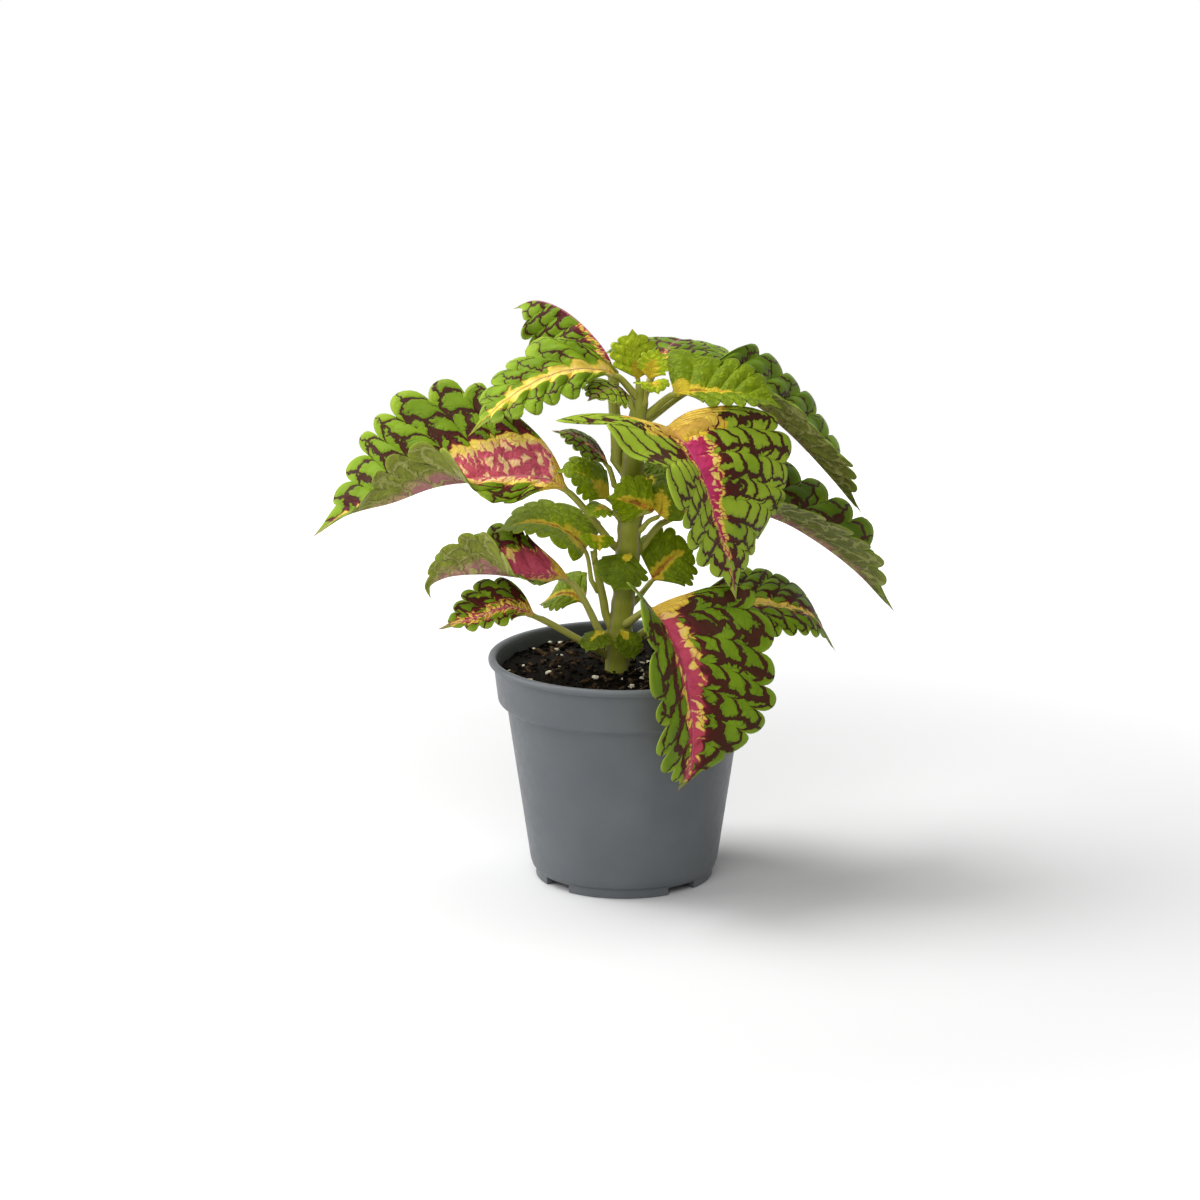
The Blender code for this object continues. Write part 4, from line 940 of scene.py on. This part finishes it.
def build_soil(mat, chip_mat, pearl_mat):
    """the bed, and crumbs, chips and grains that lie loose on it"""
    low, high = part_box("soil")
    inside = (high.x - low.x) / MM / 2 - 0.4
    bm = bmesh.new()
    bmesh.ops.create_circle(bm, segments=128, radius=inside, cap_ends=True)
    face = bm.faces[:]
    for _ in range(SOIL_RINGS):
        bmesh.ops.inset_region(bm, faces=face, thickness=inside / (SOIL_RINGS + 2),
                               use_even_offset=True)
    for v in bm.verts:
        v.co.z = soil_height(v.co.x, v.co.y)
    # the sides go down out of sight, inside the pot
    rim = [e for e in bm.edges if e.is_boundary]
    new = bmesh.ops.extrude_edge_only(bm, edges=rim)["geom"]
    for v in (g for g in new if isinstance(g, bmesh.types.BMVert)):
        v.co.x, v.co.y, v.co.z = v.co.x * 0.97, v.co.y * 0.97, SOIL_LEVEL - 6
    bmesh.ops.edgeloop_fill(bm, edges=[e for e in bm.edges if e.is_boundary])
    bmesh.ops.recalc_face_normals(bm, faces=bm.faces)
    finish_piece(bm, "soil_bed", [mat], "soil")

    rng = np.random.default_rng(7)

    def scatter(name, mat, number, sizes, stretch, lift, steps):
        """number loose lumps as one piece; sizes: least and most radius in mm"""
        bm = bmesh.new()
        for k in range(number):
            r = (inside - 1.5) * sqrt(rng.uniform(0, 1))
            a = rng.uniform(0, 2 * pi)
            x, y = r * cos(a), r * sin(a)
            size = rng.uniform(*sizes)
            ball = bmesh.ops.create_icosphere(bm, subdivisions=steps, radius=size)["verts"]
            long_, flat, seed = rng.uniform(1, stretch), rng.uniform(0.45, 0.9), rng.uniform(0, 99)
            lie = rng.uniform(0, 2 * pi)
            tilt = rng.uniform(-0.5, 0.5)
            z = soil_height(x, y) + size * lift
            for v in ball:
                p = v.co * (1 + 0.35 * noise.noise(v.co / size * 1.2 + Vector((seed, 0, 0))))
                p = Vector((p.x * long_, p.y, p.z * flat))
                p = Vector((p.x, p.y, p.z + p.x * tilt))
                v.co = (x + p.x * cos(lie) - p.y * sin(lie),
                        y + p.x * sin(lie) + p.y * cos(lie), z + p.z)
        finish_piece(bm, name, [mat], None)

    scatter("soil_crumbs", mat, CRUMBS, (0.35, 1.1), 1.6, 0.25, 1)
    scatter("bark_chips", chip_mat, CHIPS, (0.4, 1.3), 4.0, 0.5, 1)
    scatter("perlite_grains", pearl_mat, GRAINS, (0.45, 1.35), 1.5, 0.5, 3)


# ---- the plant, put together ----
UPPER, UNDER, YOUNG = coleus_upper(), coleus_under(), young_upper()
PETIOLE = stalk_skin("coleus petiole", "#949a20", "#bab660", None)
STEM = stalk_skin("coleus stem", "#7a8214", "#a6a83c", "#948478")

for number, spec in enumerate(LEAVES, 1):
    faces = [UPPER if spec["look"] == "mature" else YOUNG, UNDER]
    build_leaf(spec, number, (faces[::-1] if spec["over"] else faces) + [PETIOLE])
build_stem("main_stem_skin", MAIN_STEM, "main_stem", STEM, 48,
           sorted({s["route"][0][1] for s in LEAVES if s["stem"] is MAIN_STEM}))
build_stem("side_shoot_skin", [(-2.5, -0.4, 93, 2.2), (-4.8, -0.6, 98, 2.0)] + SIDE_SHOOT,
           "side_shoot", PETIOLE, 24, [])
build_pot(pot_plastic())
# peat, almost black, with brown fibres and crumbs of about 1 mm; bark fibre; and perlite, puffed
# volcanic glass, off-white
PEAT, BARK = (loose(name, (700, 4, 0.7), [(0.38, dark), (0.62, light), (0.78, "#6b5a45")], 0.8,
                    0.8 * MM, roughness=0.95, specular_ior_level=0.08)
              for name, dark, light in (("peat compost", "#030201", "#140e05"),
                                        ("bark fibre", "#120d09", "#57442e")))
PERLITE = loose("perlite", (1500, 2, 0.5), [(0.3, "#b0a07c"), (0.6, "#ece6d0")], 0.7, 0.4 * MM,
                roughness=0.8, specular_ior_level=0.3)
build_soil(PEAT, BARK, PERLITE)

# ---- floor, light and camera ----
def seen(owner):
    """1 where the camera looks, straight or in a shine or through something, otherwise 0"""
    rays = add_node(owner, RAYS).outputs
    straight = add_node(owner, HIGHER, rays["Is Camera Ray"], rays["Is Glossy Ray"])
    return add_node(owner, HIGHER, straight, rays["Is Transmission Ray"])


floor_mesh = bmesh.new()
bmesh.ops.create_grid(floor_mesh, x_segments=8, y_segments=8, size=FLOOR_HALF)
floor = in_scene("floor", floor_mesh)
floor.location = (0, 0, -0.2 * MM)
board, add = start("matt white board", base_color="#e2e2e2", roughness=0.9,
                   specular_ior_level=0.1, emission_color="#ffffff")
floor.data.materials.append(board)
# the board grows paler towards its edge, where it meets the backdrop
far = add(LENGTH, add(COORDINATES).outputs["Object"]).outputs["Value"]
finish_material(board, Emission_Strength=add(
    TIMES, seen(board), add(SOFT_RANGE, far, 0.2, 0.65, 0.0, 0.6)))

world = bpy.data.worlds.new("studio")
bpy.context.scene.world = world
world.use_nodes = True
back = world.node_tree.nodes["Background"]
level = add_node(world, RANGE, seen(world), 0.0, 1.0, 0.3, 1.0)
world.node_tree.links.new(level.outputs[0], back.inputs["Strength"])
back.inputs["Color"].default_value = srgb("#ffffff")


def lamp(name, place, size, power):
    """a round softbox; metres and watts"""
    data = bpy.data.lights.new(name, "AREA")
    data.shape, data.size, data.energy = "DISK", size, power
    light = in_scene(name, data)
    light.location = place
    way = LAMP_AIM - Vector(place)
    light.rotation_euler = way.to_track_quat("-Z", "Y").to_euler()


lamp("key_softbox", (-0.85, 0.3, 1.85), 1.2, 31)
lamp("side_softbox", (-1.85, 0.05, 1.05), 1.8, 24)
lamp("fill_softbox", (-0.2, -1.5, 1.4), 1.4, 14)

camera_data = bpy.data.cameras.new("camera")
camera_data.sensor_width = CAMERA_SENSOR
camera_data.lens = CAMERA_LENS
camera = in_scene("camera", camera_data)
aim = CAMERA_AIM + AXIS
camera.location = (aim[0], aim[1] - cos(CAMERA_TILT) * CAMERA_FAR,
                   aim[2] + sin(CAMERA_TILT) * CAMERA_FAR)
camera.rotation_euler = (radians(90) - CAMERA_TILT, 0, 0)
bpy.context.scene.camera = camera
bpy.context.scene.view_settings.view_transform = "Standard"
